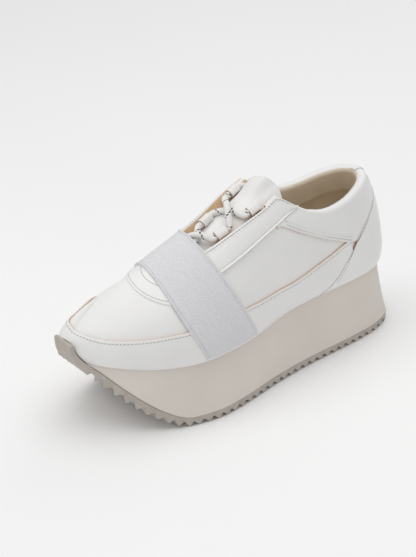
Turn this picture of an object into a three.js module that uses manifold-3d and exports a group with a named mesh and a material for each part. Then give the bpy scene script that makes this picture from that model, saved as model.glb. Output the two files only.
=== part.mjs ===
// A platform sneaker for the left foot: a serrated outsole that turns up over the toe, a tall flared
// midsole, a hollow leather upper, an insole, a tongue, a wide elastic strap over the vamp, and a
// round lace that crosses between four folded leather loops.
//
// Millimetres, +Z up, +X towards the toe, +Y towards the outer (lateral) side.
// "Station" is the distance along the shoe from the back of the sole.

import * as THREE from "three";
import { mergeVertices } from "three/addons/utils/BufferGeometryUtils.js";
import Module from "manifold-3d";

// ---------------------------------------------------------------- driving dimensions

const SOLE_BACK = -7;
const SOLE_TOE = 277;
const FEATHER_BACK = 5; // the feather line is the edge where the upper meets the midsole
const FEATHER_TOE = 269.5;
const RIDGE_BACK = 47; // the ridge is the crest line that both sides of the upper climb to
const RIDGE_TOE = 237;

const TOE_LINE_Y = -10; // the toe's point lies towards the inner side
const ROCKER_START = 206; // the ground line leaves the floor here
const ROCKER_REACH = 73;
const ROCKER_RISE = 62.5;
const ROCKER_POWER = 1.62;
const BUMPER_START = 267; // from here the outsole turns up as a smooth toe bumper
const BUMPER_LENGTH = 19;
const BUMPER_RADIUS = 28.6;

const OUTSOLE_BASE = 3.2;
const LUG_DEPTH = 3.2;
const LUG_PITCH = 7.5;
const BUMPER_TIP_THICKNESS = 3.6;
const BUMPER_TIP_LIFT = 0.9; // the smooth underside of the bumper lies this far inside the lug tips
const BUMPER_THINS_OVER = 10; // the rubber starts to thin this far before the last tooth
const OUTSOLE_PROUD = 0.8; // the rubber's edge stands out past the foam
const BEYOND_TIP = 4;

const WALL = 2.2; // leather and lining together
const COLLAR_PADDING = 3.4; // foam added inside the wall at the collar
const UPPER_BULGE = 2.6; // how far the side swells past the feather line
const BULGE_HEIGHT = 15;
const INSOLE_THICKNESS = 4;
const INSOLE_INSET = 3.2;
const TONGUE_THICKNESS = 3;
const TONGUE_REST = 4.2; // its outer face lies this deep under the upper's outer surface
const TONGUE_SINK = 3.2; // extra depth along the inner side, where the throat stands open
const TONGUE_DIP = 2.4; // extra depth under the strap, where the lace lies on it
const TONGUE_STAND = 4; // how far the middle of its top stands out of the throat
const STRAP_THICKNESS = 1.6;
const LACE_RADIUS = 2.3;
const LACE_LEAD = 3.4; // the lace leaves a loop straight for this long before it bends
const LOOP_STANDS_OFF = 0.4; // from the throat's edge to the side of a loop
const GAP = 0.3; // air between neighbouring pieces

// The edge of the sole where outsole and midsole meet, seen from above.
const SOLE_EDGE = [
  { station: 4, lateral: 22.6, medial: 21.5 },
  { station: 20, lateral: 30.6, medial: 29.5 },
  { station: 37, lateral: 34, medial: 33 },
  { station: 67, lateral: 36.6, medial: 34.5 },
  { station: 97, lateral: 39, medial: 34.5 },
  { station: 128, lateral: 43.6, medial: 37 },
  { station: 159, lateral: 50, medial: 41.5 },
  { station: 183, lateral: 53, medial: 44.5 },
  { station: 204, lateral: 50, medial: 45 },
  { station: 222, lateral: 43.8, medial: 42.5 },
  { station: 240, lateral: 33.5, medial: 36.5 },
  { station: 258, lateral: 17.5, medial: 23.5 },
  { station: 269, lateral: 5, medial: 16 },
];

// The feather line, seen from above.
const FEATHER_EDGE = [
  { station: 14.5, lateral: 20.5, medial: 19.5 },
  { station: 34, lateral: 29.6, medial: 28.6 },
  { station: 69, lateral: 32.4, medial: 31 },
  { station: 104, lateral: 33.4, medial: 31 },
  { station: 144, lateral: 38.4, medial: 34.5 },
  { station: 169, lateral: 41.2, medial: 37.5 },
  { station: 196, lateral: 42.4, medial: 39.5 },
  { station: 222, lateral: 37.6, medial: 37 },
  { station: 244, lateral: 26, medial: 29.5 },
  { station: 260, lateral: 11.5, medial: 19.5 },
];

// Height of the feather line above the floor: a raised heel, a dip at the ball and a lifted toe.
const FEATHER_HEIGHT = [
  { station: 5, height: 52 },
  { station: 40, height: 52.3 },
  { station: 75, height: 51.6 },
  { station: 104, height: 49.8 },
  { station: 124, height: 47.2 },
  { station: 144, height: 43.7 },
  { station: 169, height: 42 },
  { station: 199, height: 43.3 },
  { station: 227, height: 46.8 },
  { station: 249, height: 50 },
  { station: 269.5, height: 53 },
];

// The crest of the upper, which leans towards the inner side over the instep. Fullness is the
// superellipse power of the cross-section: 2 is round, and more stands up before it turns in.
const RIDGE = [
  { station: 47, height: 150, side: 0, lateral_fullness: 1.95, medial_fullness: 1.95 },
  { station: 75, height: 149.5, side: 0, lateral_fullness: 2.0, medial_fullness: 2.05 },
  { station: 95, height: 145, side: -1, lateral_fullness: 2.05, medial_fullness: 2.4 },
  { station: 104, height: 141, side: -2, lateral_fullness: 2.05, medial_fullness: 2.7 },
  { station: 121, height: 131.5, side: -4, lateral_fullness: 2.05, medial_fullness: 2.9 },
  { station: 149, height: 117.5, side: -5, lateral_fullness: 1.9, medial_fullness: 2.3 },
  { station: 169, height: 109.5, side: -6, lateral_fullness: 1.8, medial_fullness: 1.9 },
  { station: 194, height: 100.5, side: -7, lateral_fullness: 1.85, medial_fullness: 1.6 },
  { station: 213, height: 94.5, side: -8, lateral_fullness: 1.95, medial_fullness: 1.5 },
  { station: 237, height: 86.5, side: -9, lateral_fullness: 2.3, medial_fullness: 2.15 },
];

// The collar line seen from the side, from the back of the heel to the top of the throat.
const COLLAR_LINE = [
  { station: -12, height: 121 },
  { station: 14, height: 120.5 },
  { station: 34, height: 116.5 },
  { station: 52, height: 112 },
  { station: 70, height: 110.8 },
  { station: 85, height: 115.2 },
  { station: 96, height: 121.5 },
  { station: 106, height: 127.5 },
];

// How far the two edges of the throat slot lie from the middle line, seen from above.
const THROAT = [
  { station: 92, lateral: 15, medial: 21 },
  { station: 106, lateral: 14.5, medial: 21 },
  { station: 121, lateral: 14.5, medial: 19.5 },
  { station: 149, lateral: 12.5, medial: 14.5 },
  { station: 168, lateral: 11, medial: 12.5 },
  { station: 180, lateral: 6, medial: 11 },
  { station: 186, lateral: 0, medial: 7 },
];

// The tongue's two edges seen from above, measured the same way. Its top is rounded and lies a
// little askew, so its inner edge starts on the outer side of the middle line.
const TONGUE = [
  { station: 101, lateral: 18.5, medial: -13 },
  { station: 102.5, lateral: 20, medial: -9 },
  { station: 105, lateral: 20.5, medial: -3 },
  { station: 107.5, lateral: 20.5, medial: 3 },
  { station: 110.5, lateral: 20.5, medial: 11 },
  { station: 114, lateral: 20, medial: 17 },
  { station: 119, lateral: 19.5, medial: 22 },
  { station: 140, lateral: 18.5, medial: 21.5 },
  { station: 175, lateral: 14, medial: 17.5 },
  { station: 196, lateral: 6, medial: 15 },
];

// Stations of the strap's rear and front edges by height, on the middle line.
const STRAP_EDGE = [
  { height: 30, rear: 132.5, front: 178.5 },
  { height: 43, rear: 138, front: 185.4 },
  { height: 55, rear: 143.8, front: 191.8 },
  { height: 68, rear: 149.8, front: 198 },
  { height: 80, rear: 155.2, front: 202.4 },
  { height: 90, rear: 159.8, front: 204.8 },
  { height: 100, rear: 164.2, front: 206 },
  { height: 120, rear: 173, front: 206.5 },
];
const STRAP_SKEW = 0.11; // the strap runs a little further forward on the outer side

// One tooth of the outsole, from tip to tip, as shares of the pitch and of the lug depth.
const TOOTH = [
  { along: 0, depth: 0 },
  { along: 0.14, depth: 0 },
  { along: 0.26, depth: 0.6 },
  { along: 0.4, depth: 1 },
  { along: 0.56, depth: 0.92 },
  { along: 0.96, depth: 0.05 },
];

const RING_STEPS = 84; // columns round the upper
const WALL_STEPS = 10; // rows from the feather line to the ridge
const SLOT_STEP = 3; // spacing of the points along the throat and the tongue
const COLLAR_STEP = 4; // spacing of the points along the collar line
const THROAT_FLOOR = 85; // the throat and tongue shapes cut only above this height
const PLAN_STEPS = 96; // points round the outsole's outline
const HALF_SPACE = 70; // half the width of a cutting shape; wider than the shoe
const SPACE_TOP = 190; // above everything
const DROP = 12; // how far a cutting copy of the last reaches below the feather line

// The rounded tip of the bumper, from its underside to its top: how far up the rubber's thickness
// each point lies, and how far it stands out past the end.
const BUMPER_TIP = [
  { up: 0.14, out: 0.6 },
  { up: 0.4, out: 1.2 },
  { up: 0.72, out: 1.0 },
];

// The midsole's wall from the outsole to the feather line: height and inward shares. It is slightly
// hollow.
const MIDSOLE_WALL = [
  { up: 0, inward: 0 },
  { up: 1 / 3, inward: 0.38 },
  { up: 2 / 3, inward: 0.72 },
  { up: 1, inward: 1 },
];
const MIDSOLE_LEAST = 1.5; // the foam is never thinner than this before it is trimmed
const MIDSOLE_SKIRT = 14; // the foam's blank reaches this far down and is trimmed by the outsole

const wasm = await Module();
wasm.setup();

// ---------------------------------------------------------------- curves from tables

// A smooth curve through the rows of a table: cubic Hermite spans with slopes from the neighbours.
// Past the last row it keeps the last value. With a period it is closed on itself.
function curve(knots, values, period = 0) {
  const count = knots.length;
  const knot = (i) =>
    period
      ? knots[((i % count) + count) % count] + period * Math.floor(i / count)
      : knots[Math.min(Math.max(i, 0), count - 1)];
  const value = (i) =>
    period ? values[((i % count) + count) % count] : values[Math.min(Math.max(i, 0), count - 1)];
  const slope = (i) => (value(i + 1) - value(i - 1)) / Math.max(knot(i + 1) - knot(i - 1), 1e-9);
  return (t) => {
    let i = 0;
    if (period) {
      t -= period * Math.floor((t - knots[0]) / period);
      while (i < count - 1 && knots[i + 1] <= t) i++;
    } else {
      t = Math.min(Math.max(t, knots[0]), knots[count - 1]);
      while (i < count - 2 && knots[i + 1] <= t) i++;
    }
    const span = knot(i + 1) - knot(i);
    const u = (t - knot(i)) / span;
    const u2 = u * u;
    const u3 = u2 * u;
    return (
      value(i) * (2 * u3 - 3 * u2 + 1) +
      slope(i) * span * (u3 - 2 * u2 + u) +
      value(i + 1) * (3 * u2 - 2 * u3) +
      slope(i + 1) * span * (u3 - u2)
    );
  };
}

const column = (rows, name) => curve(rows.map((r) => r.station), rows.map((r) => r[name]));

// A closed outline from a table of half-widths. The angle runs from 0 at the heel through the
// lateral side to pi at the toe and on through the medial side; the station follows its cosine,
// so both ends come out round.
function outline(rows, back, toe) {
  const length = toe - back;
  const angleOf = (station) => Math.acos(1 - (2 * (station - back)) / length);
  const lateral = rows.map((r) => [angleOf(r.station), r.lateral]);
  const medial = rows.map((r) => [2 * Math.PI - angleOf(r.station), -r.medial]).reverse();
  const knots = [[0, 0], ...lateral, [Math.PI, TOE_LINE_Y], ...medial];
  const side = curve(knots.map((k) => k[0]), knots.map((k) => k[1]), 2 * Math.PI);
  return (angle) => ({ x: back + (length * (1 - Math.cos(angle))) / 2, y: side(angle) });
}

const soleEdge = outline(SOLE_EDGE, SOLE_BACK, SOLE_TOE);
const featherEdge = outline(FEATHER_EDGE, FEATHER_BACK, FEATHER_TOE);
const featherHeight = column(FEATHER_HEIGHT, "height");
const ridgeHeight = column(RIDGE, "height");
const ridgeSlope = (x) => (ridgeHeight(x + 1) - ridgeHeight(x - 1)) / 2;
const lateralFullness = column(RIDGE, "lateral_fullness");
const medialFullness = column(RIDGE, "medial_fullness");
const ridgeSide = column(RIDGE, "side");
const collarHeight = column(COLLAR_LINE, "height");

const blend = (a, b, t) => a + (b - a) * t;
function smoothstep(low, high, t) {
  const u = Math.min(Math.max((t - low) / (high - low), 0), 1);
  return u * u * (3 - 2 * u);
}

// ---------------------------------------------------------------- the last

// A point of the upper's outer surface. angle goes round the feather line; rise goes from 0 at the
// feather line to 1 at the ridge, along a quarter of a superellipse. It swells a little low down,
// and the swell fades out at the ridge, where both sides meet.
function lastPoint(angle, rise) {
  const edge = featherEdge(angle);
  const foot = featherHeight(edge.x);
  const share = (1 - Math.cos(angle)) / 2;
  const crestX = blend(RIDGE_BACK, RIDGE_TOE, share);
  const crestY = ridgeSide(crestX);
  const power = 2 / (angle < Math.PI ? lateralFullness(crestX) : medialFullness(crestX));
  const turn = (rise * Math.PI) / 2;
  const inward = rise >= 1 ? 1 : 1 - Math.cos(turn) ** power;
  const upward = Math.sin(turn) ** power;
  const height = (ridgeHeight(crestX) - foot) * upward;
  const reach = Math.hypot(crestX - edge.x, crestY - edge.y);
  const fade = Math.sqrt(Math.max(Math.cos(turn), 0));
  const swell = UPPER_BULGE * (height / BULGE_HEIGHT) * Math.exp(1 - height / BULGE_HEIGHT) * fade;
  const along = inward - swell / reach;
  // Towards the top the section leans over to leave the ridge along the ridge's own slope.
  const x = blend(edge.x, crestX, along);
  const lean = ridgeSlope(crestX) * (x - crestX) * upward ** 2;
  return new THREE.Vector3(x, blend(edge.y, crestY, along), foot + height + lean);
}

// The point of the outer surface at a station and a side distance, with its normal.
function surfaceAt(station, side) {
  const onLateral = side >= 0;
  const angleFor = (a) => (onLateral ? a : 2 * Math.PI - a);
  const find = (low, high, over) => {
    for (let i = 0; i < 40; i++) {
      const middle = (low + high) / 2;
      if (over(middle)) high = middle;
      else low = middle;
    }
    return (low + high) / 2;
  };
  const riseFor = (a) => find(0.15, 1, (v) => Math.abs(lastPoint(angleFor(a), v).y) < Math.abs(side));
  const a = find(0.3, 2.9, (t) => lastPoint(angleFor(t), riseFor(t)).x > station);
  const v = riseFor(a);
  const point = lastPoint(angleFor(a), v);
  const dAngle = lastPoint(angleFor(a) + 0.01, v).sub(lastPoint(angleFor(a) - 0.01, v));
  const dRise = lastPoint(angleFor(a), Math.min(v + 0.01, 1)).sub(lastPoint(angleFor(a), v - 0.01));
  const normal = dAngle.cross(dRise).normalize();
  if (normal.z < 0) normal.negate();
  return { point, normal };
}

// ---------------------------------------------------------------- solids

// A closed solid from a geometry that has positions only.
function solidOfBare(geometry) {
  const merged = mergeVertices(geometry, 1e-4);
  return new wasm.Manifold(
    new wasm.Mesh({
      numProp: 3,
      vertProperties: merged.getAttribute("position").array,
      triVerts: new Uint32Array(merged.index.array),
    }),
  );
}

function solidFrom(positions, faces) {
  const geometry = new THREE.BufferGeometry()
    .setAttribute("position", new THREE.Float32BufferAttribute(positions, 3))
    .setIndex(faces);
  return solidOfBare(geometry);
}

function solidOfGeometry(geometry) {
  const bare = geometry.index ? geometry.toNonIndexed() : geometry.clone();
  bare.deleteAttribute("normal");
  bare.deleteAttribute("uv");
  return solidOfBare(bare);
}

function geometryOf(solid) {
  const mesh = solid.getMesh();
  const positions = new Float32Array(mesh.numVert * 3);
  for (let i = 0; i < mesh.numVert; i++) {
    positions.set(mesh.vertProperties.subarray(i * mesh.numProp, i * mesh.numProp + 3), i * 3);
  }
  const geometry = new THREE.BufferGeometry()
    .setAttribute("position", new THREE.BufferAttribute(positions, 3))
    .setIndex(new THREE.BufferAttribute(new Uint32Array(mesh.triVerts), 1));
  geometry.computeVertexNormals();
  return geometry;
}

// A side-view shape, given as [station, height] points, pushed through the whole width. With a
// skew it runs forward by that share of the side distance.
function sidePrism(points, skew = 0) {
  const shape = new THREE.Shape(points.map(([x, z]) => new THREE.Vector2(x, z)));
  const geometry = new THREE.ExtrudeGeometry(shape, { depth: 2 * HALF_SPACE, bevelEnabled: false });
  geometry.rotateX(Math.PI / 2).translate(0, HALF_SPACE, 0);
  geometry.applyMatrix4(new THREE.Matrix4().makeShear(0, 0, skew, 0, 0, 0));
  return solidOfGeometry(geometry);
}

// A top-view shape, given as [station, side] points, raised between two heights.
function topPrism(points, low, high) {
  const shape = new THREE.Shape(points.map(([x, y]) => new THREE.Vector2(x, y)));
  const geometry = new THREE.ExtrudeGeometry(shape, { depth: high - low, bevelEnabled: false });
  return solidOfGeometry(geometry.translate(0, 0, low));
}

// A stack of closed rings from bottom to top. Each ring is sampled at the same angles, and the
// bottom and the top are closed by strips that join the lateral to the medial side.
function ringSolid(rings) {
  const count = RING_STEPS;
  const positions = [];
  const faces = [];
  for (const ring of rings) {
    for (let i = 0; i < count; i++) {
      const p = ring((i * 2 * Math.PI) / count);
      positions.push(p.x, p.y, p.z);
    }
  }
  for (let r = 0; r < rings.length - 1; r++) {
    for (let i = 0; i < count; i++) {
      const a = r * count + i;
      const b = r * count + ((i + 1) % count);
      faces.push(a, b + count, b, a, a + count, b + count);
    }
  }
  const top = (rings.length - 1) * count;
  for (let i = 0; i < count / 2; i++) {
    const back = (count - i) % count;
    const next = count - i - 1;
    faces.push(i, i + 1, next, i, next, back);
    faces.push(top + i, top + next, top + i + 1, top + i, top + back, top + next);
  }
  return solidFrom(positions, faces.filter((_, i, all) => keepsTriangle(all, i)));
}

// Whether the triangle that holds this index has three different corners.
function keepsTriangle(all, i) {
  const start = i - (i % 3);
  const [a, b, c] = [all[start], all[start + 1], all[start + 2]];
  return a !== b && b !== c && a !== c;
}

// The closed form of the last, moved inwards along its own normals by depth(x, y, z) millimetres.
// drop lowers the bottom, so that cutting this form out of a larger one leaves it open underneath.
function lastSolid(depth, drop = 0) {
  const columns = RING_STEPS;
  const rows = WALL_STEPS;
  // Both sides share the points of the ridge.
  const corner = (i, j) => j * columns + (j < rows ? i % columns : Math.min(i, columns - i));
  const positions = [];
  const faces = [];
  for (let j = 0; j <= rows; j++) {
    const last = j < rows ? columns - 1 : columns / 2;
    for (let i = 0; i <= last; i++) {
      const p = lastPoint((i * 2 * Math.PI) / columns, j / rows);
      positions.push(p.x, p.y, p.z);
    }
  }
  for (let j = 0; j < rows; j++) {
    for (let i = 0; i < columns; i++) {
      const [a, b] = [corner(i, j), corner(i + 1, j)];
      const [c, d] = [corner(i + 1, j + 1), corner(i, j + 1)];
      faces.push(a, c, b, a, d, c);
    }
  }
  const surface = new THREE.BufferGeometry()
    .setAttribute("position", new THREE.Float32BufferAttribute(positions, 3))
    .setIndex(faces);
  surface.computeVertexNormals();
  const place = surface.getAttribute("position");
  const normal = surface.getAttribute("normal");
  const moved = [];
  for (let i = 0; i < place.count; i++) {
    const p = new THREE.Vector3().fromBufferAttribute(place, i);
    const n = new THREE.Vector3().fromBufferAttribute(normal, i);
    const atFeather = i < columns;
    if (atFeather) n.setZ(0).normalize();
    p.addScaledVector(n, -depth(p.x, p.y, p.z));
    if (atFeather) p.z -= drop;
    moved.push(p.x, p.y, p.z);
  }
  for (let i = 0; i < columns / 2; i++) {
    const back = (columns - i) % columns;
    const next = columns - i - 1;
    faces.push(i, i + 1, next, i, next, back);
  }
  return solidFrom(moved, faces.filter((_, i, all) => keepsTriangle(all, i)));
}

// A round cord along points, as an ExtrudeGeometry.
function cordSolid(points, radius = LACE_RADIUS, steps = 18) {
  const section = new THREE.Shape();
  section.absarc(0, 0, radius, 0, 2 * Math.PI, false);
  const path = new THREE.CatmullRomCurve3(points);
  return solidOfGeometry(
    new THREE.ExtrudeGeometry(section, {
      steps,
      extrudePath: path,
      bevelEnabled: false,
      curveSegments: 5,
    }),
  );
}

// ---------------------------------------------------------------- the sole

const rockerShare = (x) => Math.max(0, (x - ROCKER_START) / ROCKER_REACH);
const groundHeight = (x) => ROCKER_RISE * rockerShare(x) ** ROCKER_POWER;
const groundSlope = (x) =>
  (ROCKER_RISE * ROCKER_POWER * rockerShare(x) ** (ROCKER_POWER - 1)) / ROCKER_REACH;

// The ground line from the heel to the top of the bumper, as evenly spaced points with the
// distance run, the place and the unit normal that points up into the shoe.
function groundLine(step = 0.5) {
  const line = [];
  let run = 0;
  let x = SOLE_BACK - 1;
  let z = 0;
  while (x < BUMPER_START) {
    const angle = Math.atan(groundSlope(x));
    line.push({ run, x, z: groundHeight(x), angle });
    x += step * Math.cos(angle);
    run += step;
  }
  const start = Math.atan(groundSlope(x));
  z = groundHeight(x);
  const turn = BUMPER_LENGTH / BUMPER_RADIUS;
  for (let along = 0; along <= BUMPER_LENGTH; along += step) {
    const angle = start + (turn * along) / BUMPER_LENGTH;
    line.push({
      run: run + along,
      x: x + BUMPER_RADIUS * (Math.sin(angle) - Math.sin(start)),
      z: z + BUMPER_RADIUS * (Math.cos(start) - Math.cos(angle)),
      angle,
    });
  }
  return { line, teethEnd: run };
}

const ground = groundLine();
const runs = ground.line.map((p) => p.run);
const groundX = curve(runs, ground.line.map((p) => p.x));
const groundZ = curve(runs, ground.line.map((p) => p.z));
const groundAngle = curve(runs, ground.line.map((p) => p.angle));
const RUN_END = runs[runs.length - 1];

// A point at a distance above the ground line, measured square to it.
function abovePoint(run, distance) {
  const angle = groundAngle(run);
  return [groundX(run) - Math.sin(angle) * distance, groundZ(run) + Math.cos(angle) * distance];
}

// Thickness of the whole outsole, thinning towards the bumper's tip.
const outsoleThickness = (run) =>
  blend(
    OUTSOLE_BASE + LUG_DEPTH,
    BUMPER_TIP_THICKNESS,
    smoothstep(ground.teethEnd - BUMPER_THINS_OVER, RUN_END, run),
  );

// The line of the outsole's upper face, from the heel to the bumper's tip.
function innerLine(lift, from, to, step = 4) {
  const points = [];
  for (let run = from; run < to; run += step) points.push(abovePoint(run, outsoleThickness(run) + lift));
  points.push(abovePoint(to, outsoleThickness(to) + lift));
  return points;
}

function makeOutsole() {
  const teeth = [];
  const count = Math.floor(ground.teethEnd / LUG_PITCH);
  for (let k = 0; k < count; k++) {
    const tip = ground.teethEnd - (k + 1) * LUG_PITCH;
    // Steep faces look to the heel, so each tooth is laid out backwards from the tip in front of it.
    for (const row of [...TOOTH].reverse()) {
      teeth.push({ run: tip + LUG_PITCH * (1 - row.along), distance: row.depth * LUG_DEPTH });
    }
  }
  teeth.sort((a, b) => a.run - b.run);
  const lower = [abovePoint(0, 0), ...teeth.map((t) => abovePoint(t.run, t.distance))];
  for (let run = ground.teethEnd + 2; run < RUN_END - 1; run += 2) {
    const share = smoothstep(ground.teethEnd, ground.teethEnd + BEYOND_TIP, run);
    lower.push(abovePoint(run, BUMPER_TIP_LIFT * share));
  }
  const tipThickness = outsoleThickness(RUN_END);
  const tip = BUMPER_TIP.map(({ up, out }) => {
    const [x, z] = abovePoint(RUN_END, blend(BUMPER_TIP_LIFT, tipThickness, up));
    return [x, z + out];
  });
  const upper = innerLine(0, 0, RUN_END).reverse();
  const ribbon = sidePrism([...lower, ...tip, ...upper]);
  const plan = [];
  for (let i = 0; i < PLAN_STEPS; i++) {
    const p = soleEdge((i * 2 * Math.PI) / PLAN_STEPS);
    plan.push([p.x, p.y]);
  }
  return ribbon.intersect(topPrism(plan, -SLOT_STEP, SPACE_TOP));
}

// Everything under the outsole's upper face and in front of the bumper, used to trim what stands
// on the outsole. The face carries on past the bumper's tip for a little way.
function soleEnvelope(lift) {
  const top = innerLine(lift, 0, RUN_END);
  const angle = groundAngle(RUN_END);
  const [tipX, tipZ] = top[top.length - 1];
  top.push([tipX + BEYOND_TIP * Math.cos(angle), tipZ + BEYOND_TIP * Math.sin(angle)]);
  const [endX, endZ] = top[top.length - 1];
  const heelZ = top[0][1];
  const [back, front] = [SOLE_BACK - HALF_SPACE, endX + HALF_SPACE];
  return sidePrism([
    [back, heelZ],
    [back, -HALF_SPACE],
    [front, -HALF_SPACE],
    [front, endZ],
    ...top.reverse(),
  ]);
}

function makeMidsole() {
  const middleX = (SOLE_BACK + SOLE_TOE) / 2;
  const edgeAt = (angle, share, z) => {
    const low = soleEdge(angle);
    const high = featherEdge(angle);
    const reach = Math.hypot(low.x - middleX, low.y);
    const keep = 1 - (OUTSOLE_PROUD * (1 - share)) / reach;
    return {
      x: blend(middleX + (low.x - middleX) * keep, high.x, share),
      y: blend(low.y * keep, high.y, share),
      z,
    };
  };
  const feather = (angle) => featherHeight(featherEdge(angle).x) - GAP;
  const foot = (angle) =>
    Math.min(
      groundHeight(soleEdge(angle).x) + OUTSOLE_BASE + LUG_DEPTH,
      feather(angle) - MIDSOLE_LEAST,
    );
  const skirt = (angle) => edgeAt(angle, 0, foot(angle) - MIDSOLE_SKIRT);
  const wall = MIDSOLE_WALL.map(
    ({ up, inward }) =>
      (angle) =>
        edgeAt(angle, inward, blend(foot(angle), feather(angle), up)),
  );
  return ringSolid([skirt, ...wall]).subtract(soleEnvelope(GAP));
}

// The feather line moved inwards by a distance.
function featherInside(angle, inset) {
  const here = featherEdge(angle);
  const ahead = featherEdge(angle + 0.02);
  const behind = featherEdge(angle - 0.02);
  const dx = ahead.x - behind.x;
  const dy = ahead.y - behind.y;
  const size = Math.hypot(dx, dy);
  return { x: here.x + (dy / size) * inset, y: here.y - (dx / size) * inset };
}

function makeInsole() {
  const ring = (lift) => (angle) => ({
    ...featherInside(angle, INSOLE_INSET),
    z: featherHeight(featherEdge(angle).x) + lift,
  });
  return ringSolid([ring(GAP), ring(GAP + INSOLE_THICKNESS)]).subtract(soleEnvelope(GAP + WALL));
}

// ---------------------------------------------------------------- the upper and what lies on it

// Wall thickness: leather and lining, with foam inside the collar.
function wallDepth(x, y, z) {
  const nearCollar = smoothstep(-26, -6, z - collarHeight(x));
  const behindThroat = 1 - smoothstep(76, 96, x);
  return WALL + COLLAR_PADDING * nearCollar * behindThroat;
}

function slotPlan(rows) {
  const lateral = column(rows, "lateral");
  const medial = column(rows, "medial");
  const points = [];
  const from = rows[0].station;
  const to = rows[rows.length - 1].station;
  const steps = Math.round((to - from) / SLOT_STEP);
  for (let k = 0; k <= steps; k++) {
    const x = blend(from, to, k / steps);
    points.push([x, lateral(x)]);
  }
  for (let k = steps; k >= 0; k--) {
    const x = blend(from, to, k / steps);
    points.push([x, -medial(x)]);
  }
  return points;
}

function makeUpper() {
  const shell = lastSolid(() => 0).subtract(lastSolid(wallDepth, DROP));
  const end = COLLAR_LINE[COLLAR_LINE.length - 1].station;
  const collar = [];
  const back = COLLAR_LINE[0].station;
  for (let x = back; x < end; x += COLLAR_STEP) collar.push([x, collarHeight(x)]);
  collar.push([end, collarHeight(end)], [end, SPACE_TOP], [back, SPACE_TOP]);
  const throat = topPrism(slotPlan(THROAT), THROAT_FLOOR, SPACE_TOP);
  return shell.subtract(sidePrism(collar)).subtract(throat).subtract(soleEnvelope(GAP));
}

// How far the tongue's outer face lies under the upper's outer surface.
function tongueDepth(x, y) {
  const offset = y - ridgeSide(x);
  const middle = 1 - smoothstep(5, 15, Math.abs(offset + 3));
  const sink = TONGUE_SINK * smoothstep(3, 14, -offset);
  const dip = TONGUE_DIP * smoothstep(140, 172, x);
  const stand = TONGUE_STAND * (1 - smoothstep(106, 126, x)) * middle;
  return TONGUE_REST + sink + dip - stand;
}

function makeTongue() {
  const sheet = lastSolid(tongueDepth).subtract(
    lastSolid((x, y) => tongueDepth(x, y) + TONGUE_THICKNESS, DROP),
  );
  return sheet.intersect(topPrism(slotPlan(TONGUE), THROAT_FLOOR - DROP, SPACE_TOP));
}

function makeStrap() {
  const inner = lastSolid(() => -GAP, DROP);
  const outer = lastSolid(() => -GAP - STRAP_THICKNESS);
  const edge = (name) => STRAP_EDGE.map((row) => [row[name], row.height]);
  const band = sidePrism([...edge("rear"), ...edge("front").reverse()], STRAP_SKEW);
  return outer.subtract(inner).intersect(band);
}

// ---------------------------------------------------------------- lace and loops

const LOOP = { length: 10.5, width: 8.2, height: 6.6, wall: 0.8 };
const LOOPS = [
  { name: "lace_loop_lateral_top", station: 121, side: 1, sink: 1.2 },
  { name: "lace_loop_lateral_low", station: 148, side: 1, sink: 1.6 },
  { name: "lace_loop_medial_top", station: 119, side: -1, sink: 3.3 },
  { name: "lace_loop_medial_low", station: 148, side: -1, sink: 2.2 },
];

const throatLateral = column(THROAT, "lateral");
const throatMedial = column(THROAT, "medial");

// The middle of a loop and its own axes: along runs down the throat edge towards the toe, out is
// square to the surface, across points from the throat edge over the tongue.
function loopFrame({ station, side, sink }) {
  const edge = (x) => (side > 0 ? throatLateral(x) : -throatMedial(x));
  const here = surfaceAt(station, edge(station));
  const ahead = surfaceAt(station + 3, edge(station + 3)).point;
  const behind = surfaceAt(station - 3, edge(station - 3)).point;
  const along = ahead.sub(behind).normalize();
  const out = here.normal.clone().addScaledVector(along, -here.normal.dot(along)).normalize();
  const across = new THREE.Vector3().crossVectors(out, along).multiplyScalar(side > 0 ? -1 : 1);
  const centre = here.point
    .clone()
    .addScaledVector(across, LOOP.width / 2 + LOOP_STANDS_OFF)
    .addScaledVector(out, LOOP.height / 2 - WALL - sink);
  return { centre, along, out, across };
}

function ovalPath(width, height, into) {
  const flat = (width - height) / 2;
  into.moveTo(-flat, -height / 2);
  into.lineTo(flat, -height / 2);
  into.absarc(flat, 0, height / 2, -Math.PI / 2, Math.PI / 2, false);
  into.lineTo(-flat, height / 2);
  into.absarc(-flat, 0, height / 2, Math.PI / 2, (3 * Math.PI) / 2, false);
  return into;
}

function makeLoop(row) {
  const { centre, along, out, across } = loopFrame(row);
  const shape = ovalPath(LOOP.width, LOOP.height, new THREE.Shape());
  shape.holes.push(
    ovalPath(LOOP.width - 2 * LOOP.wall, LOOP.height - 2 * LOOP.wall, new THREE.Path()),
  );
  const geometry = new THREE.ExtrudeGeometry(shape, {
    depth: LOOP.length,
    bevelEnabled: false,
    curveSegments: 6,
  });
  geometry.translate(0, 0, -LOOP.length / 2);
  const third = new THREE.Vector3().crossVectors(across, out);
  const basis = new THREE.Matrix4().makeBasis(across, out, third).setPosition(centre);
  return solidOfGeometry(geometry.applyMatrix4(basis));
}

// A point over the tongue: station, side distance, and height of the cord's middle above the
// upper's outer surface.
function overTongue(station, side, lift) {
  const { point, normal } = surfaceAt(station, Math.abs(side) < 0.5 ? 0.5 : side);
  return point.addScaledVector(normal, lift);
}

// A point on a loop's own axis, at a distance along it from the loop's middle.
function throughLoop(name, distance) {
  const { centre, along } = loopFrame(LOOPS.find((row) => row.name === name));
  return centre.clone().addScaledVector(along, distance);
}

const MOUTH = LOOP.length / 2 + GAP;

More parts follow.
